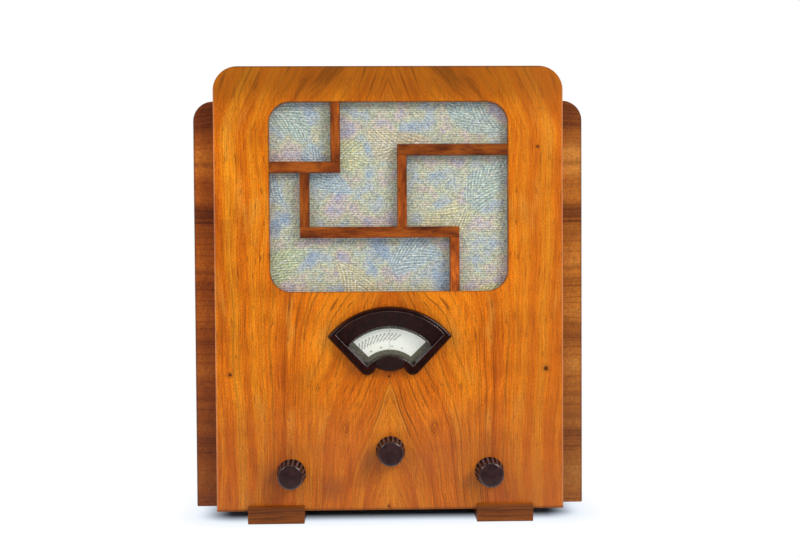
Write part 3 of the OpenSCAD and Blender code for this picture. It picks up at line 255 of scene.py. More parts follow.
PALE_SIDE_EDGES, PALE_SIDE_END = (0.1783, 0.1794), (0.446, 0.452)
DARK_TOP_EDGE, DARK_FOOT_EDGE = (0.4692, 0.4704), (0.0155, 0.0125)
EDGE_ROUNDING = 0.0009
SAME_PLACE = 0.00001


def added(tree, base, value, share=1.0):
    """A value with so much of another added to it."""
    return maths(tree, "MULTIPLY_ADD", value, share, base)


def axes_of(tree, place):
    """The three coordinates of a place, each by itself."""
    return wire(tree, "SeparateXYZ", {"Vector": place}).node.outputs


def apart(tree, value, other):
    """How far a value lies from another."""
    return maths(tree, "ABSOLUTE", maths(tree, "SUBTRACT", value, other))


def ramped(tree, value, stops):
    """A row of linear colours along a value, as (position, colour) pairs from low to high."""
    colour = wire(tree, "ValToRGB", {"Fac": value})
    ramp = colour.node.color_ramp
    ramp.elements[0].position, ramp.elements[0].color = stops[0]
    ramp.elements[1].position, ramp.elements[1].color = stops[-1]
    for position, shade in stops[1:-1]:
        ramp.elements.new(position).color = shade
    return colour


def toned(tree, value, *stops):
    """A row of a painter's tones along a value, each written as its position, red, green and blue."""
    return ramped(tree, value, [(position, paint(*tone)) for position, *tone in stops])


def weathered(tree, under, value, *stops):
    """A colour multiplied along a value, each factor written as its position, red, green and blue."""
    factors = ramped(tree, value, [(position, (*factor, 1.0)) for position, *factor in stops])
    return blended(tree, 1.0, under, factors, "MULTIPLY")


def laid(tree, under, tone, *shares):
    """A painter's tone laid over a colour, as strongly as the shares multiply to."""
    return blended(tree, product(tree, *shares), under, paint(*tone))


def cloudy(tree, place, scale, detail=2.0, roughness=0.5):
    """Noise in space, about 0.5."""
    return wire(tree, "TexNoise", {"Vector": place, "Scale": scale, "Detail": detail,
                                   "Roughness": roughness})


def grainy(tree, place, stretch, detail=2.0, roughness=0.5):
    """Noise drawn out along one way, as grain is."""
    return cloudy(tree, wire(tree, "Mapping", {"Vector": place, "Scale": stretch}), 1.0, detail, roughness)


def banded(tree, distance, scale, detail=2.0, roughness=0.5):
    """Noise along a line, about 0.5, for growth rings."""
    texture = {"W": distance, "Scale": scale, "Detail": detail, "Roughness": roughness}
    return wire(tree, "TexNoise", texture, noise_dimensions="1D")


def polished(shader, value, *bounds):
    """Gives a finish its gloss, a soft step along a value."""
    gloss = between(shader.id_data, value, *bounds)
    shader.id_data.links.new(gloss, shader.inputs["Roughness"])


def raised(shader, height, strength, depth):
    """Gives a finish its fine relief."""
    bump = wire(shader.id_data, "Bump", {"Height": height, "Strength": strength, "Distance": depth})
    shader.id_data.links.new(bump, shader.inputs["Normal"])


def near(tree, flat_place, spot, inner, outer):
    """1 within the inner distance of a spot on the panel, and 0 beyond the outer one."""
    reach = vectors(tree, "DISTANCE", flat_place, spot, output="Value")
    return between(tree, reach, inner, outer, 1.0, 0.0)


def pick_up(*pieces):
    """Selects these pieces and no others, with the first as the active one."""
    bpy.ops.object.select_all(action="DESELECT")
    for piece in pieces:
        piece.select_set(True)
    bpy.context.view_layer.objects.active = pieces[0]


def merged_copy(node, name):
    """A CAD node's shape as a piece of its own, its loose triangles joined and its faces made whole."""
    piece = placed(name, nodes[node].data.copy())
    pick_up(piece)
    bpy.ops.object.mode_set(mode="EDIT")
    bpy.ops.mesh.select_all(action="SELECT")
    bpy.ops.mesh.remove_doubles(threshold=SAME_PLACE)
    bpy.ops.mesh.dissolve_limited(angle_limit=math.radians(0.5))
    bpy.ops.object.mode_set(mode="OBJECT")
    bpy.ops.mesh.customdata_custom_splitnormals_clear()
    return piece


def soften(piece, width, segments=2, angle=30):
    """Rounds sharp edges as sanding or a mould leaves them."""
    bpy.context.view_layer.objects.active = piece
    rounding = piece.modifiers.new("rounding", "BEVEL")
    rounding.width = width
    rounding.segments = segments
    rounding.limit_method = "ANGLE"
    rounding.angle_limit = math.radians(angle)
    bpy.ops.object.modifier_apply(modifier=rounding.name)
    bpy.ops.object.shade_smooth_by_angle(angle=math.radians(angle + 5))
    weighted = piece.modifiers.new("even shading", "WEIGHTED_NORMAL")
    weighted.keep_sharp = True
    bpy.ops.object.modifier_apply(modifier=weighted.name)


def settle(piece, material, body, slot, *replaced):
    """Gives a new piece its finish, the body it rides on, and the CAD nodes it stands for."""
    piece.data.materials.clear()
    piece.data.materials.append(material)
    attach(piece, body)
    if replaced:
        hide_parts(*replaced)


walnut, tree, shader = finish("figured_walnut", {"Specular IOR Level": 0.16, "Coat Weight": 0.08,
                                                 "Coat Roughness": 0.12})
split = axes_of(tree, own_place(tree))
panel_x, panel_z = split["X"], split["Z"]
leaf_x = maths(tree, "ABSOLUTE", panel_x)
leaf = wire(tree, "CombineXYZ", {"X": leaf_x, "Z": panel_z})
flat = wire(tree, "CombineXYZ", {"X": panel_x, "Z": panel_z})
narrowing = maths(tree, "DIVIDE", leaf_x, SEAM_FLAME_WIDTH)
narrowing = maths(tree, "EXPONENT", product(tree, narrowing, narrowing, -1.0))
flame = maths(tree, "SUBTRACT", panel_z, SEAM_FLAME_Z)
flame = maths(tree, "SUBTRACT", flame, product(tree, between(tree, panel_z, *FLAME_FADE), FLAME_FALL))
flame = product(tree, flame, narrowing)
growth = added(tree, leaf_x, flame, SEAM_FLAME_SLOPE)
slow = grainy(tree, leaf, (9, 1, 4), 3.0)
growth = added(tree, growth, slow, 0.035)
slower = grainy(tree, flat, (14, 1, 5))
growth = added(tree, growth, slower, 0.012)
leaning = product(tree, between(tree, leaf_x, *LEAN_START), between(tree, leaf_x, *LEAN_END))
rise = maths(tree, "MAXIMUM", maths(tree, "SUBTRACT", panel_z, FLAME_TOP_Z), 0.0)
growth = added(tree, growth, product(tree, rise, leaning), LEAN)
grown = wire(tree, "CombineXYZ", {"X": growth, "Z": panel_z})
bands = banded(tree, growth, 42, 2.5)
rings = banded(tree, growth, 290, 3.0, 0.6)
tone = added(tree, product(tree, bands, 0.70), rings, 0.30)
wood = toned(tree, tone, (0.30, 196, 96, 8), (0.43, 228, 120, 10), (0.54, 240, 137, 16),
             (0.68, 250, 162, 34))
flush = grainy(tree, grown, (60, 1, 11), 4.0, 0.62)
wood = laid(tree, wood, (192, 84, 22), between(tree, flush, 0.51, 0.70), 0.50)
wood = laid(tree, wood, (240, 166, 62), between(tree, flush, 0.47, 0.32), 0.50)
presence = between(tree, grainy(tree, flat, (16, 1, 5)), 0.38, 0.56)
heart = product(tree, between(tree, leaf_x, 0.085, 0.135, 1.0, 0.45),
                between(tree, panel_z, 0.20, 0.27, 1.0, 0.55))
line = product(tree, between(tree, rings, 0.57, 0.64), presence, heart)
wood = laid(tree, wood, (116, 50, 14), line, 0.72)
fibre = grainy(tree, flat, (900, 1, 26), 3.0, 0.6)
wood = weathered(tree, wood, fibre, (0.30, 0.70, 0.62, 0.54), (0.62, 1.10, 1.09, 1.06))
streaks = grainy(tree, grown, (360, 1, 17), 3.0, 0.62)
wood = weathered(tree, wood, streaks, (0.28, 0.74, 0.66, 0.58), (0.44, 0.97, 0.95, 0.93),
                 (0.70, 1.12, 1.13, 1.12))
dashes = grainy(tree, grown, (620, 1, 60), 1.0)
wood = laid(tree, wood, (128, 58, 16), between(tree, dashes, 0.62, 0.72), 0.6)
mottle = grainy(tree, flat, (900, 1, 420), 2.0, 0.7)
wood = weathered(tree, wood, mottle, (0.30, 0.76, 0.73, 0.70), (0.70, 1.20, 1.21, 1.22))
pores = grainy(tree, flat, (1500, 1, 95), 1.0)
pore = between(tree, pores, 0.64, 0.74)
wood = laid(tree, wood, (92, 40, 14), pore, 0.45)
shimmer = cloudy(tree, wire(tree, "Mapping", {"Vector": flat, "Rotation": (0, 0.5, 0),
                                              "Scale": (17, 1, 30)}), 1.0, 1.5)
wood = weathered(tree, wood, shimmer, (0.30, 0.86, 0.82, 0.78), (0.70, 1.10, 1.10, 1.12))
blotch = grainy(tree, flat, (7, 1, 9))
wood = weathered(tree, wood, blotch, (0.32, 0.91, 0.85, 0.78), (0.66, 1.06, 1.07, 1.04))
# A painted reflection of the white floor greys the lower quarter unevenly, and the strip over the fret is
# browner.
lower = product(tree, between(tree, panel_z, *PAINTED_FLOOR_REFLECTION_ZONE), between(tree, blotch, 0.35, 0.60, 0.55, 1.0))
wood = laid(tree, wood, (180, 98, 56), lower, 0.45)
upper = between(tree, panel_z, *TOP_STRIP)
wood = laid(tree, wood, (152, 84, 12), upper, 0.66)
slanting = grainy(tree, grown, (210, 1, 16), 3.0, 0.6)
slanting = product(tree, between(tree, slanting, 0.48, 0.66), upper)
wood = laid(tree, wood, (104, 58, 14), slanting, 0.62)
wood = laid(tree, wood, (190, 98, 26), between(tree, panel_x, *RIGHT_STRIP), 0.30)
# Painted shadows of the knobs: soft dark patches beside and below them.
for knob_shadow, size in PAINTED_KNOB_SHADOWS:
    wood = laid(tree, wood, (112, 66, 50), near(tree, flat, knob_shadow, 0.002, size), 0.34)
past_x = maths(tree, "MAXIMUM", maths(tree, "SUBTRACT", leaf_x, FRET_HALF_WIDTH - FRET_CORNER), 0.0)
past_z = apart(tree, panel_z, FRET_MIDDLE_Z)
past_z = maths(tree, "MAXIMUM", maths(tree, "SUBTRACT", past_z, FRET_HALF_HEIGHT - FRET_CORNER), 0.0)
past = vectors(tree, "LENGTH", wire(tree, "CombineXYZ", {"X": past_x, "Z": past_z}), output="Value")
rim = between(tree, apart(tree, past, FRET_CORNER), 0.0, FRET_RIM, 1.0, 0.0)
wood = laid(tree, wood, (92, 42, 16), rim, 0.6)
for spot, size in PIN_KNOTS:
    wood = laid(tree, wood, (120, 52, 16), near(tree, flat, spot, size, size * 3.5), 0.35)
    wood = laid(tree, wood, (58, 26, 12), near(tree, flat, spot, size * 0.7, size * 1.4), 0.85)
eddy_place = vectors(tree, "SUBTRACT", leaf, EDDY_PLACE)
eddy_place = vectors(tree, "MULTIPLY", eddy_place, (1.0, 1.0, 0.62))
swirl = vectors(tree, "LENGTH", eddy_place, output="Value")
swirl = added(tree, swirl, cloudy(tree, flat, 170), 0.006)
eddy = maths(tree, "SINE", product(tree, swirl, 2 * math.pi / EDDY_PITCH))
inside = product(tree, between(tree, swirl, 0.005, 0.0105, 1.0, 0.0),
                 between(tree, eddy, -0.6, 0.8, 0.25, 1.0))
wood = laid(tree, wood, (138, 58, 24), inside, 0.6)
# The board is paler down both side edges, and darker along the top and the bottom edges.
rubbed = product(tree, between(tree, leaf_x, *PALE_SIDE_EDGES), between(tree, panel_z, *PALE_SIDE_END, 1.0, 0.0))
wood = laid(tree, wood, (216, 172, 138), rubbed, 0.3)
dark_edge_lines = added(tree, between(tree, panel_z, *DARK_TOP_EDGE), between(tree, panel_z, *DARK_FOOT_EDGE))
wood = laid(tree, wood, (84, 48, 22), dark_edge_lines, 0.6)
coloured(shader, wood)
polished(shader, fibre, 0.3, 0.7, 0.36, 0.26)
raised(shader, added(tree, fibre, pore, -1.0), 0.25, 0.00012)

front = merged_copy("front_panel", "walnut_front")
soften(front, EDGE_ROUNDING)
settle(front, walnut, "cabinet", "front_veneer", "front_panel")


# The cabinet shell.
# Thin ply is bent round the two upper corners and carried down both sides, and faced with plain walnut
# whose grain runs from front to back.
WANDER = 0.018


def timber(name, tones, across, along, seed=0.0, rings=(38, 260), streak=0.5, sheen=0.1,
           roughness=(0.42, 0.32), stripes=()):
    """Plain sawn or veneered wood: bands and rings across the grain, fibres and pores along it."""
    made, tree, shader = finish(name, {"Specular IOR Level": 0.22, "Coat Weight": sheen,
                                       "Coat Roughness": 0.2})
    place = own_place(tree)
    drawn = [1.0 if along != axis else 0.05 for axis in "XYZ"]
    long = wire(tree, "Mapping", {"Vector": place, "Location": (seed, seed, seed), "Scale": drawn})
    split = axes_of(tree, place)
    folded = wire(tree, "CombineXYZ", {"X": maths(tree, "ABSOLUTE", split["X"]), "Y": split["Y"],
                                       "Z": split["Z"]})
    distance = vectors(tree, "DOT_PRODUCT", folded, across, output="Value")
    slow = [11.0 if along != axis else 5.0 for axis in "XYZ"]
    slow = wire(tree, "Mapping", {"Vector": place, "Location": (seed, 0, seed), "Scale": slow})
    distance = added(tree, added(tree, distance, seed), cloudy(tree, slow, 1.0), WANDER)
    band = banded(tree, distance, rings[0], 2.5)
    ring = banded(tree, distance, rings[1], 3.0, 0.6)
    tone = added(tree, product(tree, band, 0.65), ring, 0.35)
    dark, middle, light = tones
    wood = toned(tree, tone, (0.34, *dark), (0.5, *middle), (0.66, *light))
    line = between(tree, ring, 0.56, 0.70)
    wood = laid(tree, wood, dark, line, streak)
    fibre = cloudy(tree, long, 420, 4.0, 0.62)
    wood = weathered(tree, wood, fibre, (0.28, 0.66, 0.60, 0.54), (0.66, 1.14, 1.14, 1.14))
    for height, reach, depth in stripes:
        away = apart(tree, maths(tree, "SUBTRACT", distance, seed), height + WANDER / 2)
        wood = laid(tree, wood, dark, between(tree, away, 0.0, reach, 1.0, 0.0), depth)
    pore = between(tree, cloudy(tree, long, 1300, 1.0), 0.62, 0.72)
    pit = blended(tree, 1.0, paint(*dark), (0.4, 0.36, 0.34, 1), "MULTIPLY")
    wood = blended(tree, product(tree, pore, 0.5), wood, pit)
    blotch = cloudy(tree, place, 13)
    wood = weathered(tree, wood, blotch, (0.32, 0.84, 0.79, 0.74), (0.68, 1.07, 1.07, 1.06))
    coloured(shader, wood)
    polished(shader, fibre, 0.3, 0.7, *roughness)
    raised(shader, added(tree, fibre, pore, -1.0), 0.3, 0.00015)
    return made


side_walnut = timber("plain_walnut", ((92, 44, 16), (150, 82, 32), (184, 112, 52)), (-1, 0, 1), "Y", 1.7)
shell = merged_copy("cabinet_shell", "walnut_shell")
soften(shell, EDGE_ROUNDING)
settle(shell, side_walnut, "cabinet", "shell_veneer", "cabinet_shell")

# The wings.
# A stepped board stands against each side of the cabinet, set back from the front. Its veneer is laid
# with the grain level, so its dark stripes run round from the face to the side.
WING_ROUNDING = 0.0012
WING_STRIPES = ((0.405, 0.040, 0.25), (0.372, 0.006, 0.40), (0.302, 0.007, 0.45), (0.262, 0.004, 0.45),
                (0.190, 0.006, 0.50), (0.128, 0.005, 0.40), (0.104, 0.009, 0.40), (0.045, 0.034, 0.28))
PAINTED_WING_EDGE_SHADE = (0.1995, 0.2022)
WING_DARK = (0.26, 0.06)
# Painted light and shade: the left wing's tones are darker and the right wing's lighter, as the light falls
# from the right.
WING_LIT_AND_SHADED_TONES = {"left": ((116, 50, 10), (190, 94, 18), (222, 126, 34)),
              "right": ((122, 60, 14), (204, 120, 34), (232, 154, 62))}
for side in ("left", "right"):
    wing_walnut = timber(side + "_striped_walnut", WING_LIT_AND_SHADED_TONES[side], (0, 0, 1), "Y", 0.37, rings=(18, 420),
                         streak=0.42, stripes=WING_STRIPES)
    tree = wing_walnut.node_tree
    shader = tree.nodes["Principled BSDF"]
    split = axes_of(tree, own_place(tree))
    # Darker towards the bottom, and painted shade darkens each wing's outer edge.
    wing_tone_with_edge_shade = laid(tree, shader.inputs["Base Color"].links[0].from_socket, (88, 60, 42),
                between(tree, split["Z"], *WING_DARK), 0.30)
    off = maths(tree, "ABSOLUTE", split["X"])
    wing_tone_with_edge_shade = laid(tree, wing_tone_with_edge_shade, (84, 58, 44), between(tree, off, *PAINTED_WING_EDGE_SHADE), 0.55)
    coloured(shader, wing_tone_with_edge_shade)
    wing = merged_copy(side + "_wing", side + "_walnut_wing")
    soften(wing, WING_ROUNDING)
    settle(wing, wing_walnut, "cabinet", "wing_veneer", side + "_wing")

# The fret.
# Flat walnut bars, stained redder and darker than the panel, cross its hole flush with the face. The grain
# runs along each bar, and painted shade darkens their edges.
LEVEL_BARS = ((0.3676, -0.1300, -0.0501, 0.88), (0.3003, -0.0919, 0.0727, 0.84),
              (0.3852, 0.0087, 0.1300, 0.67))
UPRIGHT_BARS = ((-0.0550, 0.96), (-0.0870, 0.84), (0.0136, 1.12), (0.0678, 1.66))
LEVEL_HALF_BAR = 0.0058
UPRIGHT_HALF_BAR = 0.0049
PAINTED_EDGE_SHADE = 0.0010
FRET_ROUNDING = 0.0005

fret_walnut, tree, shader = finish("fret_walnut", {"Specular IOR Level": 0.22, "Coat Weight": 0.08,
                                                   "Coat Roughness": 0.14})
split = axes_of(tree, own_place(tree))
bar_x, bar_z = split["X"], split["Z"]
level, edges, strength = 0.0, 0.0, 1.0
for height, start, end, own in LEVEL_BARS:
    off = apart(tree, bar_z, height)
    here = product(tree, maths(tree, "GREATER_THAN", bar_x, start), maths(tree, "LESS_THAN", bar_x, end))
    here = product(tree, here, maths(tree, "LESS_THAN", off, LEVEL_HALF_BAR))
    level = maths(tree, "MAXIMUM", level, here)
    strength = added(tree, strength, here, own - 1)
    edge = between(tree, off, LEVEL_HALF_BAR - PAINTED_EDGE_SHADE, LEVEL_HALF_BAR)
    edges = maths(tree, "MAXIMUM", edges, product(tree, edge, here))
for middle_x, own in UPRIGHT_BARS:
    off = apart(tree, bar_x, middle_x)
    here = product(tree, maths(tree, "SUBTRACT", 1.0, level),
                   maths(tree, "LESS_THAN", off, 2 * UPRIGHT_HALF_BAR))
    strength = added(tree, strength, here, own - 1)
    edge = between(tree, off, UPRIGHT_HALF_BAR - PAINTED_EDGE_SHADE, UPRIGHT_HALF_BAR)
    edges = maths(tree, "MAXIMUM", edges, product(tree, edge, here))
upright_grain = wire(tree, "CombineXYZ", {"X": bar_x, "Z": bar_z})
level_grain = wire(tree, "CombineXYZ", {"X": bar_z, "Y": 0.3, "Z": bar_x})
grain = wire(tree, "Mix", {0: level, 4: upright_grain, 5: level_grain}, 1, data_type="VECTOR")
shade = grainy(tree, grain, (90, 1, 26), 3.0, 0.6)
bar_wood = toned(tree, shade, (0.34, 108, 46, 8), (0.48, 152, 71, 16), (0.64, 190, 98, 24))
hairs = grainy(tree, grain, (900, 1, 60), 3.0, 0.6)
bar_wood = weathered(tree, bar_wood, hairs, (0.3, 0.74, 0.68, 0.62), (0.66, 1.14, 1.12, 1.10))
flecks = grainy(tree, grain, (420, 1, 120), 1.0)
bar_wood = laid(tree, bar_wood, (70, 28, 12), between(tree, flecks, 0.60, 0.70), 0.5)
bar_wood = blended(tree, 1.0, bar_wood, strength, "MULTIPLY")
# Painted shade: a dark line along every bar's edges.
bar_wood = laid(tree, bar_wood, (64, 28, 14), edges, 0.6)
coloured(shader, bar_wood)
polished(shader, hairs, 0.3, 0.7, 0.40, 0.28)
raised(shader, hairs, 0.25, 0.00012)

fret = merged_copy("grille_fret", "walnut_fret")
soften(fret, FRET_ROUNDING)
settle(fret, fret_walnut, "cabinet", "fret_walnut", "grille_fret")

# The feet.
# Two walnut runners under the cabinet, from front to back, their noses standing out past the panel.
FOOT_ROUNDING = 0.0015
foot_walnut = timber("brown_walnut", ((94, 43, 6), (154, 82, 15), (188, 108, 26)), (0, 0.4, 1), "X", 2.9,
                     rings=(34, 520), streak=0.28, sheen=0.1, roughness=(0.55, 0.42))
for side in ("left", "right"):
    runner = merged_copy(side + "_foot", side + "_runner")
    soften(runner, FOOT_ROUNDING, 3)
    settle(runner, foot_walnut, "cabinet", "foot_walnut", side + "_foot")

# The bare wood inside.
# The base board, the glue blocks in the corners and the battens behind are planed softwood, unstained,
# and the baffle is birch ply. Their edges are left as the saw and plane leave them.
SOFTWOOD = {"tones": ((176, 128, 72), (208, 166, 108), (224, 190, 138)), "rings": (70, 330), "streak": 0.35,
            "sheen": 0.0, "roughness": (0.68, 0.58)}


def dress(material, *names):
    """Gives CAD nodes whose shape is right their real finish."""
    for name in names:
        if not nodes[name].material_slots:
            nodes[name].data.materials.append(material)
        for holder in nodes[name].material_slots:
            holder.material = material


softwood = timber("planed_softwood", across=(0.3, 0, 1), along="X", seed=4.1, **SOFTWOOD)
upright_softwood = timber("upright_softwood", across=(1, 0.8, 0), along="Z", seed=5.3, **SOFTWOOD)
birch = timber("birch_ply", ((170, 126, 78), (200, 160, 110), (216, 182, 136)), (1, 0.2, 0), "Z", 6.7,
               rings=(24, 150), streak=0.2, sheen=0.0, roughness=(0.66, 0.56))
dress(softwood, "base_board")
dress(upright_softwood, "corner_blocks", "back_battens")
dress(birch, "baffle_board")

# The grille cloth.
# A ribbed furnishing brocade, pale threads over pastel ones with leaves woven in, stretched flat over the
# baffle and held at its edges between the baffle and the front panel.
CLOTH_WIDTH = 0.2646
CLOTH_HEIGHT = 0.2096
RIB_PITCH = 0.0023
RIB_RISE = 0.00009
CLOTH_THICKNESS = 0.00035
CLOTH_SETBACK = 0.0002
CLOTH_COLUMNS = 44
ROWS_IN_RIB = 4
LEAF_CELL = 13.5
STROKE_PITCH = 0.0070
LEAF_LENGTH = 0.046
LEAF_BREADTH = 0.019
LEAF_BEND = 7.0

low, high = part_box("grille_cloth")
middle = (low + high) / 2
bpy.ops.object.select_all(action="DESELECT")
bpy.ops.mesh.primitive_grid_add(x_subdivisions=CLOTH_COLUMNS,
                                y_subdivisions=int(ROWS_IN_RIB * CLOTH_HEIGHT / RIB_PITCH), size=1,
                                location=(middle.x, low.y + CLOTH_SETBACK, middle.z),
                                rotation=(math.radians(90), 0, 0))
cloth = bpy.context.object
cloth.name = "brocade"
cloth.scale = (CLOTH_WIDTH, CLOTH_HEIGHT, 1)
bpy.ops.object.transform_apply(location=True, rotation=True, scale=True)
for point in cloth.data.vertices:
    point.co.y -= RIB_RISE * math.cos(2 * math.pi * point.co.z / RIB_PITCH)
wall = cloth.modifiers.new("wall", "SOLIDIFY")
wall.thickness = CLOTH_THICKNESS
wall.offset = -1
bpy.ops.object.modifier_apply(modifier=wall.name)
bpy.ops.object.shade_smooth_by_angle(angle=math.radians(60))

brocade, tree, shader = finish("brocade", {"Roughness": 0.82, "Specular IOR Level": 0.25,
                                           "Sheen Weight": 0.15})
split = axes_of(tree, own_place(tree))
cloth_x, cloth_z = split["X"], split["Z"]
flat = wire(tree, "CombineXYZ", {"X": cloth_x, "Y": cloth_z})
patch = cloudy(tree, flat, 30, 3.5, 0.58)
cloth_colour = toned(tree, patch, (0.34, 176, 192, 208), (0.43, 204, 208, 202), (0.50, 210, 211, 180),
                     (0.57, 219, 204, 190), (0.66, 200, 194, 208))
cell = wire(tree, "TexVoronoi", {"Vector": flat, "Scale": LEAF_CELL, "Randomness": 0.9},
            voronoi_dimensions="2D").node
border = wire(tree, "TexVoronoi", {"Vector": flat, "Scale": LEAF_CELL, "Randomness": 0.9}, "Distance",
              voronoi_dimensions="2D", feature="DISTANCE_TO_EDGE")
chance = wire(tree, "SeparateColor", {"Color": cell.outputs["Color"]}).node
local = vectors(tree, "SUBTRACT", flat, cell.outputs["Position"])
turn = product(tree, chance.outputs[0], 2 * math.pi)
local = wire(tree, "VectorRotate", {"Vector": local, "Angle": turn}, rotation_type="Z_AXIS")
local = axes_of(tree, local)
bend = product(tree, local["X"], local["X"], LEAF_BEND)
out = apart(tree, local["Y"], bend)
vein = added(tree, local["X"], out, 1.9)
vein = maths(tree, "SINE", product(tree, vein, 2 * math.pi / STROKE_PITCH))
girth = product(tree, local["X"], local["X"], 1 / LEAF_LENGTH ** 2)
leafy = between(tree, added(tree, girth, out, 1 / LEAF_BREADTH), 0.72, 1.0, 1.0, 0.0)
leafy = product(tree, leafy, between(tree, border, 0.01, 0.09))
leaf_tint = toned(tree, chance.outputs[1], (0.1, 214, 212, 138), (0.35, 228, 190, 160),
                  (0.6, 184, 202, 138), (0.9, 160, 188, 218))
cloth_colour = blended(tree, product(tree, leafy, 0.74), cloth_colour, leaf_tint)
stroke = product(tree, between(tree, vein, 0.3, 0.9), leafy)
cloth_colour = laid(tree, cloth_colour, (240, 242, 230), stroke, 0.7)
hollow = product(tree, between(tree, vein, -0.3, -0.9), leafy)
cloth_colour = laid(tree, cloth_colour, (180, 190, 148), hollow, 0.5)
midrib = product(tree, between(tree, out, 0.0003, 0.0009, 1.0, 0.0), leafy)
cloth_colour = laid(tree, cloth_colour, (232, 232, 224), midrib, 0.6)
woven = wire(tree, "Mapping", {"Vector": flat, "Scale": (780, 2 / RIB_PITCH, 1)})
thread = wire(tree, "TexVoronoi", {"Vector": woven, "Scale": 1.0, "Randomness": 0.75}, "Color",
              voronoi_dimensions="2D")
pick = wire(tree, "SeparateColor", {"Color": thread}).node
cloth_colour = weathered(tree, cloth_colour, pick.outputs[0], (0.0, 0.52, 0.55, 0.60),
                         (0.35, 0.82, 0.84, 0.86), (0.7, 1.05, 1.05, 1.05), (1.0, 1.26, 1.26, 1.24))
cloth_colour = weathered(tree, cloth_colour, pick.outputs[1], (0.0, 0.90, 0.97, 1.06),
                         (0.5, 1.0, 1.0, 0.94), (1.0, 1.12, 1.0, 0.86))
rib = maths(tree, "COSINE", product(tree, cloth_z, 2 * math.pi / RIB_PITCH))
groove = between(tree, rib, -1.0, 0.2)
cloth_colour = weathered(tree, cloth_colour, groove, (0.0, 0.66, 0.67, 0.70), (1.0, 1.06, 1.06, 1.05))
coloured(shader, cloth_colour)
raised(shader, added(tree, pick.outputs[0], groove), 0.5, 0.00025)
settle(cloth, brocade, "cabinet", "grille_brocade", "grille_cloth")

# The escutcheon.
# A fan-shaped bezel round the dial, moulded in near-black brown phenolic resin and polished, with a
# raised ridge round its rim and a plain domed boss at the foot of the fan.
MOUTH_DEPTH, MOUTH_BEAD = -0.1155, 0.00032
WINDOW_DEPTH, WINDOW_BEAD = -0.1070, 0.00022
BEZEL_ROUNDING = 0.0005
SHORTEST_LOOP = 8
BOSS_PLACE = (0, -0.1154, 0.1654)
BOSS_HALF_SIZE = (0.0148, 0.0014, 0.0076)


def resin(name, tone, cloud, roughness, coat=0.5, gloss=0.5):
    """Moulded phenolic resin: nearly one colour, with the faint clouds and swirls of its filler."""
    made, tree, shader = finish(name, {"Specular IOR Level": gloss, "Coat Weight": coat,
                                       "Coat Roughness": 0.08})
    place = own_place(tree)
    coloured(shader, toned(tree, cloudy(tree, place, 150, 4.0, 0.6), (0.36, *tone), (0.62, *cloud)))
    wear = cloudy(tree, place, 420, 3.0, 0.65)
    polished(shader, wear, 0.30, 0.75, *roughness)
    raised(shader, wear, 0.06, 0.0001)
    return made


def loops(ring, points):
    """The closed lines that a set of joined points makes, as lists of places."""
    found, seen = [], set()
    for start in ring:
        way, here = [], start
        while here is not None and here not in seen:
            seen.add(here)
            way.append(points[here].co.copy())
            here = next((other for other in ring[here] if other not in seen), None)
        if len(way) > SHORTEST_LOOP:
            found.append(way)
    return found


def beaded(way, thickness):
    """A thin rounded bead along a closed line, as a moulding's rubbed edge catches the light."""
    line = bpy.data.curves.new("bead", "CURVE")
    line.dimensions = "3D"
    line.bevel_depth = thickness
    line.bevel_resolution = 2
    path = line.splines.new("POLY")
    path.points.add(len(way) - 1)
    path.use_cyclic_u = True
    for point, place in zip(path.points, way):
        point.co = (*place, 1)
    pick_up(placed("bead", line))
    bpy.ops.object.convert(target="MESH")
    bpy.ops.object.shade_smooth()
    return bpy.context.object


bezel_resin = resin("dark_brown_resin", (27, 8, 4), (46, 15, 9), (0.14, 0.24), 0.05, 0.18)
bezel = merged_copy("escutcheon", "resin_bezel")
ledges = []
for depth, thickness in ((MOUTH_DEPTH, MOUTH_BEAD), (WINDOW_DEPTH, WINDOW_BEAD)):
    ring = {}
    for edge in bezel.data.edges:
        ends = [bezel.data.vertices[index].co for index in edge.vertices]
        if all(abs(end.y - depth) < SAME_PLACE for end in ends):
            ring.setdefault(edge.vertices[0], []).append(edge.vertices[1])
            ring.setdefault(edge.vertices[1], []).append(edge.vertices[0])
    ledges += [beaded(way, thickness) for way in loops(ring, bezel.data.vertices)]
soften(bezel, BEZEL_ROUNDING, 3, 22)
settle(bezel, bezel_resin, "cabinet", "brown_bakelite", "escutcheon")
rubbed_resin = resin("rubbed_resin", (44, 24, 19), (70, 44, 38), (0.20, 0.30), 1.0, 1.0)
pick_up(*ledges)
bpy.ops.object.join()
rubbed_edges = bpy.context.object
rubbed_edges.name = "resin_edges"
settle(rubbed_edges, rubbed_resin, "cabinet", "brown_bakelite")

boss_resin, tree, shader = finish("grained_resin", {"Specular IOR Level": 0.2, "Roughness": 0.36})
place = own_place(tree)
coloured(shader, toned(tree, cloudy(tree, place, 900, 3.0, 0.7), (0.36, 22, 9, 7), (0.64, 56, 34, 28)))
raised(shader, cloudy(tree, place, 1100), 0.5, 0.0003)
bpy.ops.object.select_all(action="DESELECT")
bpy.ops.mesh.primitive_uv_sphere_add(segments=64, ring_count=32, radius=1, location=BOSS_PLACE)
boss = bpy.context.object
boss.name = "resin_boss"
boss.scale = BOSS_HALF_SIZE
bpy.ops.object.transform_apply(location=True, rotation=True, scale=True)
bpy.ops.object.shade_smooth()
settle(boss, boss_resin, "cabinet", "brown_bakelite")

# The window, its mask and the hair line.
# Clear celluloid, a little yellowed, is held in the bezel's rebate. Behind it lie the pressed mask that
# trims the scale to a fan and one fine wire on the middle line.
PANE_ROUNDING = 0.0002


def speckled(name, roughness, specular, noise, *stops, relief=None):
    """A plain finish whose colour and relief follow one noise, given as its scale, detail and roughness."""
    made, tree, shader = finish(name, {"Roughness": roughness, "Specular IOR Level": specular})
    specks = cloudy(tree, own_place(tree), *noise)
    coloured(shader, toned(tree, specks, *stops))
    if relief:
        raised(shader, specks, *relief)
    return made


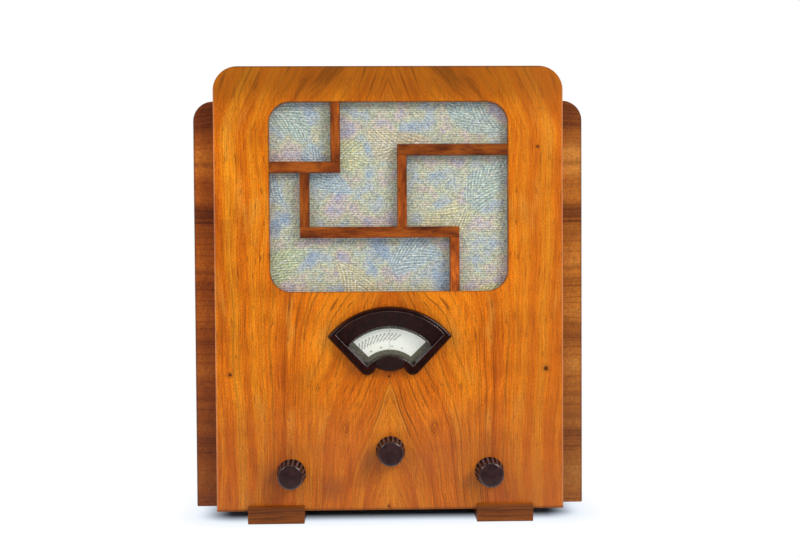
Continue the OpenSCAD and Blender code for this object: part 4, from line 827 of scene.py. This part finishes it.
celluloid, tree, shader = finish("clear_celluloid", {"Base Color": paint(236, 226, 190), "Alpha": 0.07,
                                                     "Specular IOR Level": 0.5, "Coat Weight": 0.4,
                                                     "Coat Roughness": 0.05})
haze = cloudy(tree, own_place(tree), 260, 3.0, 0.6)
polished(shader, haze, 0.3, 0.7, 0.05, 0.14)
pane = merged_copy("dial_window", "celluloid_pane")
soften(pane, PANE_ROUNDING, 1, 40)
settle(pane, celluloid, "cabinet", "window_celluloid", "dial_window")

mask_paint = speckled("grey_green_enamel", 0.48, 0.4, (320, 4.0, 0.6), (0.3, 74, 74, 62),
                      (0.7, 104, 104, 90), relief=(0.1, 0.0001))
dress(mask_paint, "dial_mask")

hair_wire = speckled("drawn_wire", 0.4, 0.6, (900,), (0.3, 214, 211, 198), (0.7, 234, 232, 222))
dress(hair_wire, "index_wire")

# The tuning scale.
# A disc of ivory celluloid turns with the capacitor behind the mask. Wavelengths and frequencies are
# printed slantwise round a little over half of it, with degrees inside them and ticks at the rim.
PRINT_RISE = 0.00006
INK_SPREAD = 0.00005
STATION_PITCH = 4.5
SCALE_START = -9
STATION_SLANT = 42.0
STATION_RADIUS = 0.0490
STATION_SIZE = 0.0022
DEGREE_RADIUS = 0.0390
DEGREE_SIZE = 0.0026
TICK_IN, TICK_OUT, TICK_WIDTH = 0.0562, 0.0575, 0.00014
TICK_PITCH = 2
LONG_TICK = 5
SCALE_SWEEP = 189
SPARE_SWEEP = 6
DEGREE_START = -19.3
DEGREE_PITCH = 16.4
DEGREE_COUNT, DEGREE_STEP = 13, 10
LONGEST_WAVE, WAVE_SPAN, WAVE_CROWDING = 550, 350, 0.85
LIGHT_SPEED = 299792

# Painted light: the scale glows faintly by itself, brightening it in its deep recess, though no lamp is lit
# behind it.
ivory, tree, shader = finish("ivory_celluloid_painted_glow", {"Roughness": 0.34, "Specular IOR Level": 0.45,
                                                 "Coat Weight": 0.2, "Emission Color": paint(244, 248, 240),
                                                 "Emission Strength": 0.31})
ageing = cloudy(tree, own_place(tree), 38, 3.0)
coloured(shader, toned(tree, ageing, (0.3, 242, 245, 234), (0.7, 250, 252, 246)))
raised(shader, cloudy(tree, own_place(tree), 500), 0.05, 0.0001)
dress(ivory, "scale_disc")

ink = speckled("printing_ink", 0.6, 0.3, (1400,), (0.3, 72, 72, 66), (0.75, 120, 118, 108))

disc_low, disc_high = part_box("scale_disc")
disc_centre = (disc_low + disc_high) / 2
disc_face = disc_low.y - PRINT_RISE


def on_disc(angle, radius, turn):
    """The place on the scale at an angle left of the top, turned by so much from the radius."""
    spot = Vector((-math.sin(angle), 0, math.cos(angle))) * radius
    facing = Matrix.Rotation(math.radians(90), 4, "X")
    spot = Matrix.Translation((disc_centre.x + spot.x, disc_face, disc_centre.z + spot.z))
    return spot @ Matrix.Rotation(-angle - turn, 4, "Y") @ facing


def printed(words, size, angle, radius, turn):
    """Figures printed on the scale, as a mesh in its place."""
    bpy.ops.object.select_all(action="DESELECT")
    bpy.ops.object.text_add()
    figure = bpy.context.object
    figure.data.body = words
    figure.data.size = size
    figure.data.align_x = "CENTER"
    figure.data.align_y = "CENTER"
    figure.data.resolution_u = 2
    figure.data.offset = INK_SPREAD
    figure.data.extrude = PRINT_RISE / 3
    bpy.ops.object.convert(target="MESH")
    figure.data.transform(on_disc(math.radians(angle), radius, math.radians(turn)))
    return figure


figures = []
for step in range(int(SCALE_SWEEP / STATION_PITCH) + 1):
    angle = SCALE_START + step * STATION_PITCH
    along = step * STATION_PITCH / (SCALE_SWEEP + SPARE_SWEEP)
    wavelength = LONGEST_WAVE - WAVE_SPAN * along ** WAVE_CROWDING
    figures.append(printed(f"{wavelength:.1f}-{LIGHT_SPEED / wavelength:.1f}", STATION_SIZE, angle,
                           STATION_RADIUS, -90 - STATION_SLANT))
for step in range(DEGREE_COUNT):
    angle = DEGREE_START + step * DEGREE_PITCH
    figures.append(printed(str(step * DEGREE_STEP), DEGREE_SIZE, angle, DEGREE_RADIUS, 0))
bpy.ops.object.select_all(action="DESELECT")
for step in range(SCALE_SWEEP // TICK_PITCH + 1):
    angle = math.radians(TICK_PITCH * step + SCALE_START)
    strokes = [(TICK_IN * math.radians(TICK_PITCH), TICK_WIDTH, TICK_IN)]
    if step % LONG_TICK == 0:
        strokes.append((TICK_WIDTH, TICK_OUT - TICK_IN, (TICK_IN + TICK_OUT) / 2))
    for breadth, height, radius in strokes:
        bpy.ops.mesh.primitive_cube_add(size=1)
        stroke = bpy.context.object
        stroke.data.transform(Matrix.Diagonal((breadth, height, PRINT_RISE / 2, 1)))
        stroke.data.transform(on_disc(angle, radius, 0))
        figures.append(stroke)
pick_up(*figures)
bpy.ops.object.join()
scale_print = bpy.context.object
scale_print.name = "scale_figures"
scale_print.matrix_world = Matrix.Identity(4)
settle(scale_print, ink, "capacitor_shaft", "scale_celluloid")

turned_brass, tree, shader = finish("turned_brass", {"Metallic": 1.0})
place = own_place(tree)
tarnish = cloudy(tree, place, 130, 4.0, 0.6)
coloured(shader, toned(tree, tarnish, (0.3, 150, 108, 50), (0.55, 196, 152, 82), (0.8, 216, 178, 108)))
polished(shader, tarnish, 0.3, 0.7, 0.42, 0.24)
raised(shader, cloudy(tree, place, 2400), 0.12, 0.00005)
dress(turned_brass, "scale_hub")

# The dial lamps.
# Two flash-lamp bulbs in pressed holders hang on a folded bracket over the scale, to light it from behind
# the rim. Their glass is clear; their brass caps get no finish of their own.
def metal(name, tones, roughness, scale=160, metallic=1.0, grain=(1, 1, 1), bump=0.1):
    """Sheet or cast metal: slow stains and finer mill marks in its colour, the marks in its relief, and a
    gloss that follows the stains.
    """
    made, tree, shader = finish(name, {"Metallic": metallic})
    place = own_place(tree)
    stain = cloudy(tree, place, scale, 4.0, 0.6)
    marks = cloudy(tree, wire(tree, "Mapping", {"Vector": place, "Scale": grain}), 1500)
    dark, light = tones
    both = added(tree, product(tree, stain, 0.7), marks, 0.3)
    coloured(shader, toned(tree, both, (0.34, *dark), (0.66, *light)))
    polished(shader, stain, 0.3, 0.7, roughness[1], roughness[0])
    raised(shader, marks, bump, 0.00008)
    return made


def glass(name, tone, film, alpha):
    """Thin blown glass: clear in the middle, with a faint grey film of dust."""
    made, tree, shader = finish(name, {"Base Color": paint(*tone), "Specular IOR Level": 0.6,
                                       "Coat Weight": 0.6, "Coat Roughness": 0.03})
    dust = cloudy(tree, own_place(tree), 60, 3.0)
    tree.links.new(between(tree, dust, 0.3, 0.7, alpha, alpha + film), shader.inputs["Alpha"])
    polished(shader, dust, 0.3, 0.7, 0.04, 0.16)
    return made


plated_steel = metal("plated_steel", ((138, 136, 130), (186, 184, 178)), (0.30, 0.46))
lamp_glass = glass("lamp_glass", (226, 230, 226), 0.08, 0.16)
dress(plated_steel, "lamp_bracket")
dress(lamp_glass, "dial_lamps")

# The knobs.
# Three alike, moulded in the bezel's resin: a fluted skirt for the fingers and a plain, slightly domed
# face. Each is held on its spindle's flat by a grub screw through the skirt.
FLUTE_ROUNDING = 0.00035
RIM_DEPTH = 0.0036
FLUTES = 18
FACE_ON = -0.97
knob_resin = resin("knob_resin", (46, 27, 27), (66, 41, 40), (0.15, 0.25), 0.0, 0.32)
edge_resin = resin("edge_resin", (46, 28, 28), (66, 42, 42), (0.12, 0.20), 0.55, 0.42)


def skirt_with_painted_glints(name, centre):
    """The skirt's resin, with a painted highlight on the ridges between its flutes and painted shade in the
    hollows.
    """
    made, tree, shader = finish(name, {"Specular IOR Level": 0.10})
    place = own_place(tree)
    split = axes_of(tree, place)
    turn = maths(tree, "ARCTAN2", maths(tree, "SUBTRACT", split["Z"], centre.z),
                 maths(tree, "SUBTRACT", split["X"], centre.x))
    ridge = between(tree, maths(tree, "COSINE", product(tree, turn, FLUTES)), -0.1, 0.8)
    glint_and_gloss_patches = cloudy(tree, place, 260, 3.0, 0.6)
    ridge = product(tree, ridge, between(tree, glint_and_gloss_patches, 0.36, 0.60, 0.25, 1.0))
    coloured(shader, toned(tree, ridge, (0.0, 20, 11, 12), (1.0, 102, 90, 100)))
    polished(shader, glint_and_gloss_patches, 0.3, 0.7, 0.30, 0.46)
    return made


grub_steel = metal("blued_steel", ((52, 50, 52), (92, 90, 92)), (0.28, 0.42))
for control, body in (("volume", "volume"), ("tuning", "tuning"), ("wave", "wave_change")):
    knob = merged_copy(control + "_knob", control + "_resin_knob")
    soften(knob, FLUTE_ROUNDING, 2, 28)
    settle(knob, knob_resin, body, "brown_bakelite", control + "_knob")
    low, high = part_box(control + "_knob")
    knob.data.materials.append(skirt_with_painted_glints(control + "_skirt_painted_glint_resin", (low + high) / 2))
    knob.data.materials.append(edge_resin)
    front_y = min(point.co.y for point in knob.data.vertices)
    for face in knob.data.polygons:
        if face.center.y > front_y + RIM_DEPTH or face.normal.y > 0:
            face.material_index = 1
        elif face.normal.y > FACE_ON:
            face.material_index = 2
dress(grub_steel, "volume_grub_screw", "tuning_grub_screw", "wave_grub_screw")

# The controls behind the knobs.
# Steel spindles turn in a brass bush, in the volume control and in the wave-change switch, which are
# clamped to the chassis with plated nuts.
spindle_steel = metal("bright_steel", ((150, 150, 148), (196, 196, 192)), (0.20, 0.34), grain=(1, 30, 1))
paxolin = metal("brown_laminate", ((92, 50, 24), (126, 74, 38)), (0.46, 0.58), 90, 0.0)
dress(spindle_steel, "volume_spindle", "tuning_spindle", "wave_spindle")
dress(turned_brass, "tuning_bush")
dress(plated_steel, "spindle_nuts")
black_resin = resin("black_resin", (24, 22, 21), (38, 35, 33), (0.30, 0.44), 0.1)
dress(black_resin, "volume_control")
dress(paxolin, "wave_switch")

# The chassis.
# One pan folded from tinned steel sheet and bolted to the base board, its deck pierced for the valves and
# coils and its back wall for the sockets.
pan_steel = metal("tinned_steel_pan", ((128, 128, 124), (172, 172, 166)), (0.34, 0.52), 45)
dress(pan_steel, "chassis_pan")
dress(plated_steel, "chassis_bolts")

# The tuning capacitor.
# Two gangs in a folded steel frame on rubber pillars: fixed vanes on insulating bushes, and moving vanes
# that turn into them on a brass-sleeved shaft. The vanes are stamped from aluminium sheet.
vane_metal = metal("vane_aluminium", ((176, 178, 180), (212, 214, 214)), (0.28, 0.42), grain=(1, 1, 40))
rubber = speckled("aged_rubber", 0.72, 0.3, (300, 4.0, 0.6), (0.3, 28, 26, 25), (0.75, 58, 55, 52),
                  relief=(0.2, 0.0002))
dress(plated_steel, "capacitor_frame")
dress(vane_metal, "capacitor_stators", "capacitor_rotor")
dress(paxolin, "stator_bushes")
dress(rubber, "capacitor_pillars")

# The transformers and smoothing cans.
# Stacked silicon-steel stampings with waxed paper-wrapped coils, and drawn aluminium cans for the
# smoothing capacitors and the tuning coils.
core_steel = metal("core_stampings", ((58, 56, 56), (98, 94, 92)), (0.44, 0.60), 70, grain=(1, 60, 1),
                   bump=0.3)
coil_paper = metal("waxed_paper", ((120, 96, 52), (168, 138, 84)), (0.50, 0.66), 60, 0.0, grain=(0.2, 1, 1))
can_metal = metal("drawn_aluminium", ((178, 180, 180), (214, 216, 214)), (0.26, 0.42), 60, grain=(1, 1, 12))
dress(core_steel, "mains_transformer_core", "output_transformer")
dress(coil_paper, "mains_transformer_coil")
dress(can_metal, "smoothing_cans", "coil_cans")

# The valves.
# Five in all, each a blown bulb on a moulded base plugged into a socket on the deck, with a nickel
# electrode box inside. Two have a metal cap on top.
valve_glass = glass("valve_glass", (214, 218, 216), 0.10, 0.20)
electrode_nickel = metal("electrode_nickel", ((92, 92, 94), (138, 138, 140)), (0.34, 0.50))
dress(paxolin, "valve_sockets")
dress(black_resin, "valve_bases")
dress(valve_glass, "valve_bulbs")
dress(electrode_nickel, "valve_electrodes")
dress(plated_steel, "valve_caps")

# The tag board, the sockets and the mains grommet.
# The small parts of the set are soldered to a laminate board under the deck. A laminate strip at the back
# carries brass sockets for the aerial, the earth and a pick-up, and a rubber ring lines the mains inlet.
dress(paxolin, "tag_board")
dress(black_resin, "socket_strip")
dress(turned_brass, "socket_tubes")
dress(rubber, "mains_grommet")

# The loudspeaker.
# A moving-coil unit: a paper cone hung in a pressed basket, with an enamelled pot behind for the field
# magnet, bolted to the baffle.
cone_paper = speckled("pulp_paper", 0.88, 0.2, (500, 5.0, 0.7), (0.3, 58, 50, 42), (0.7, 92, 82, 70),
                      relief=(0.5, 0.0003))
black_enamel = metal("black_enamel", ((26, 26, 27), (44, 44, 45)), (0.28, 0.44), 80, 0.0)
dress(cone_paper, "speaker_cone")
dress(black_enamel, "speaker_basket", "speaker_magnet")
dress(plated_steel, "speaker_bolts")

# The back cover and its screws.
# Pressed fibre board, pierced with rows of holes and slots to let the valves' heat out, is screwed to the
# battens with round-headed brass wood screws. The same screws hold the chassis, the baffle and the feet.
fibre_board, tree, shader = finish("pressed_fibre_board", {"Roughness": 0.7, "Specular IOR Level": 0.3})
place = own_place(tree)
mottle = cloudy(tree, place, 210, 5.0, 0.7)
slow = cloudy(tree, place, 14, 3.0)
board = toned(tree, added(tree, product(tree, mottle, 0.5), slow, 0.5), (0.34, 84, 54, 32),
              (0.5, 108, 72, 44), (0.66, 128, 90, 58))
hairs = cloudy(tree, wire(tree, "Mapping", {"Vector": place, "Scale": (1, 1, 0.15)}), 1500, 3.0, 0.6)
board = weathered(tree, board, hairs, (0.3, 0.80, 0.78, 0.76), (0.65, 1.08, 1.08, 1.08))
coloured(shader, board)
raised(shader, added(tree, mottle, hairs), 0.3, 0.0003)
dress(fibre_board, "back_cover")
dress(turned_brass, "wood_screws")
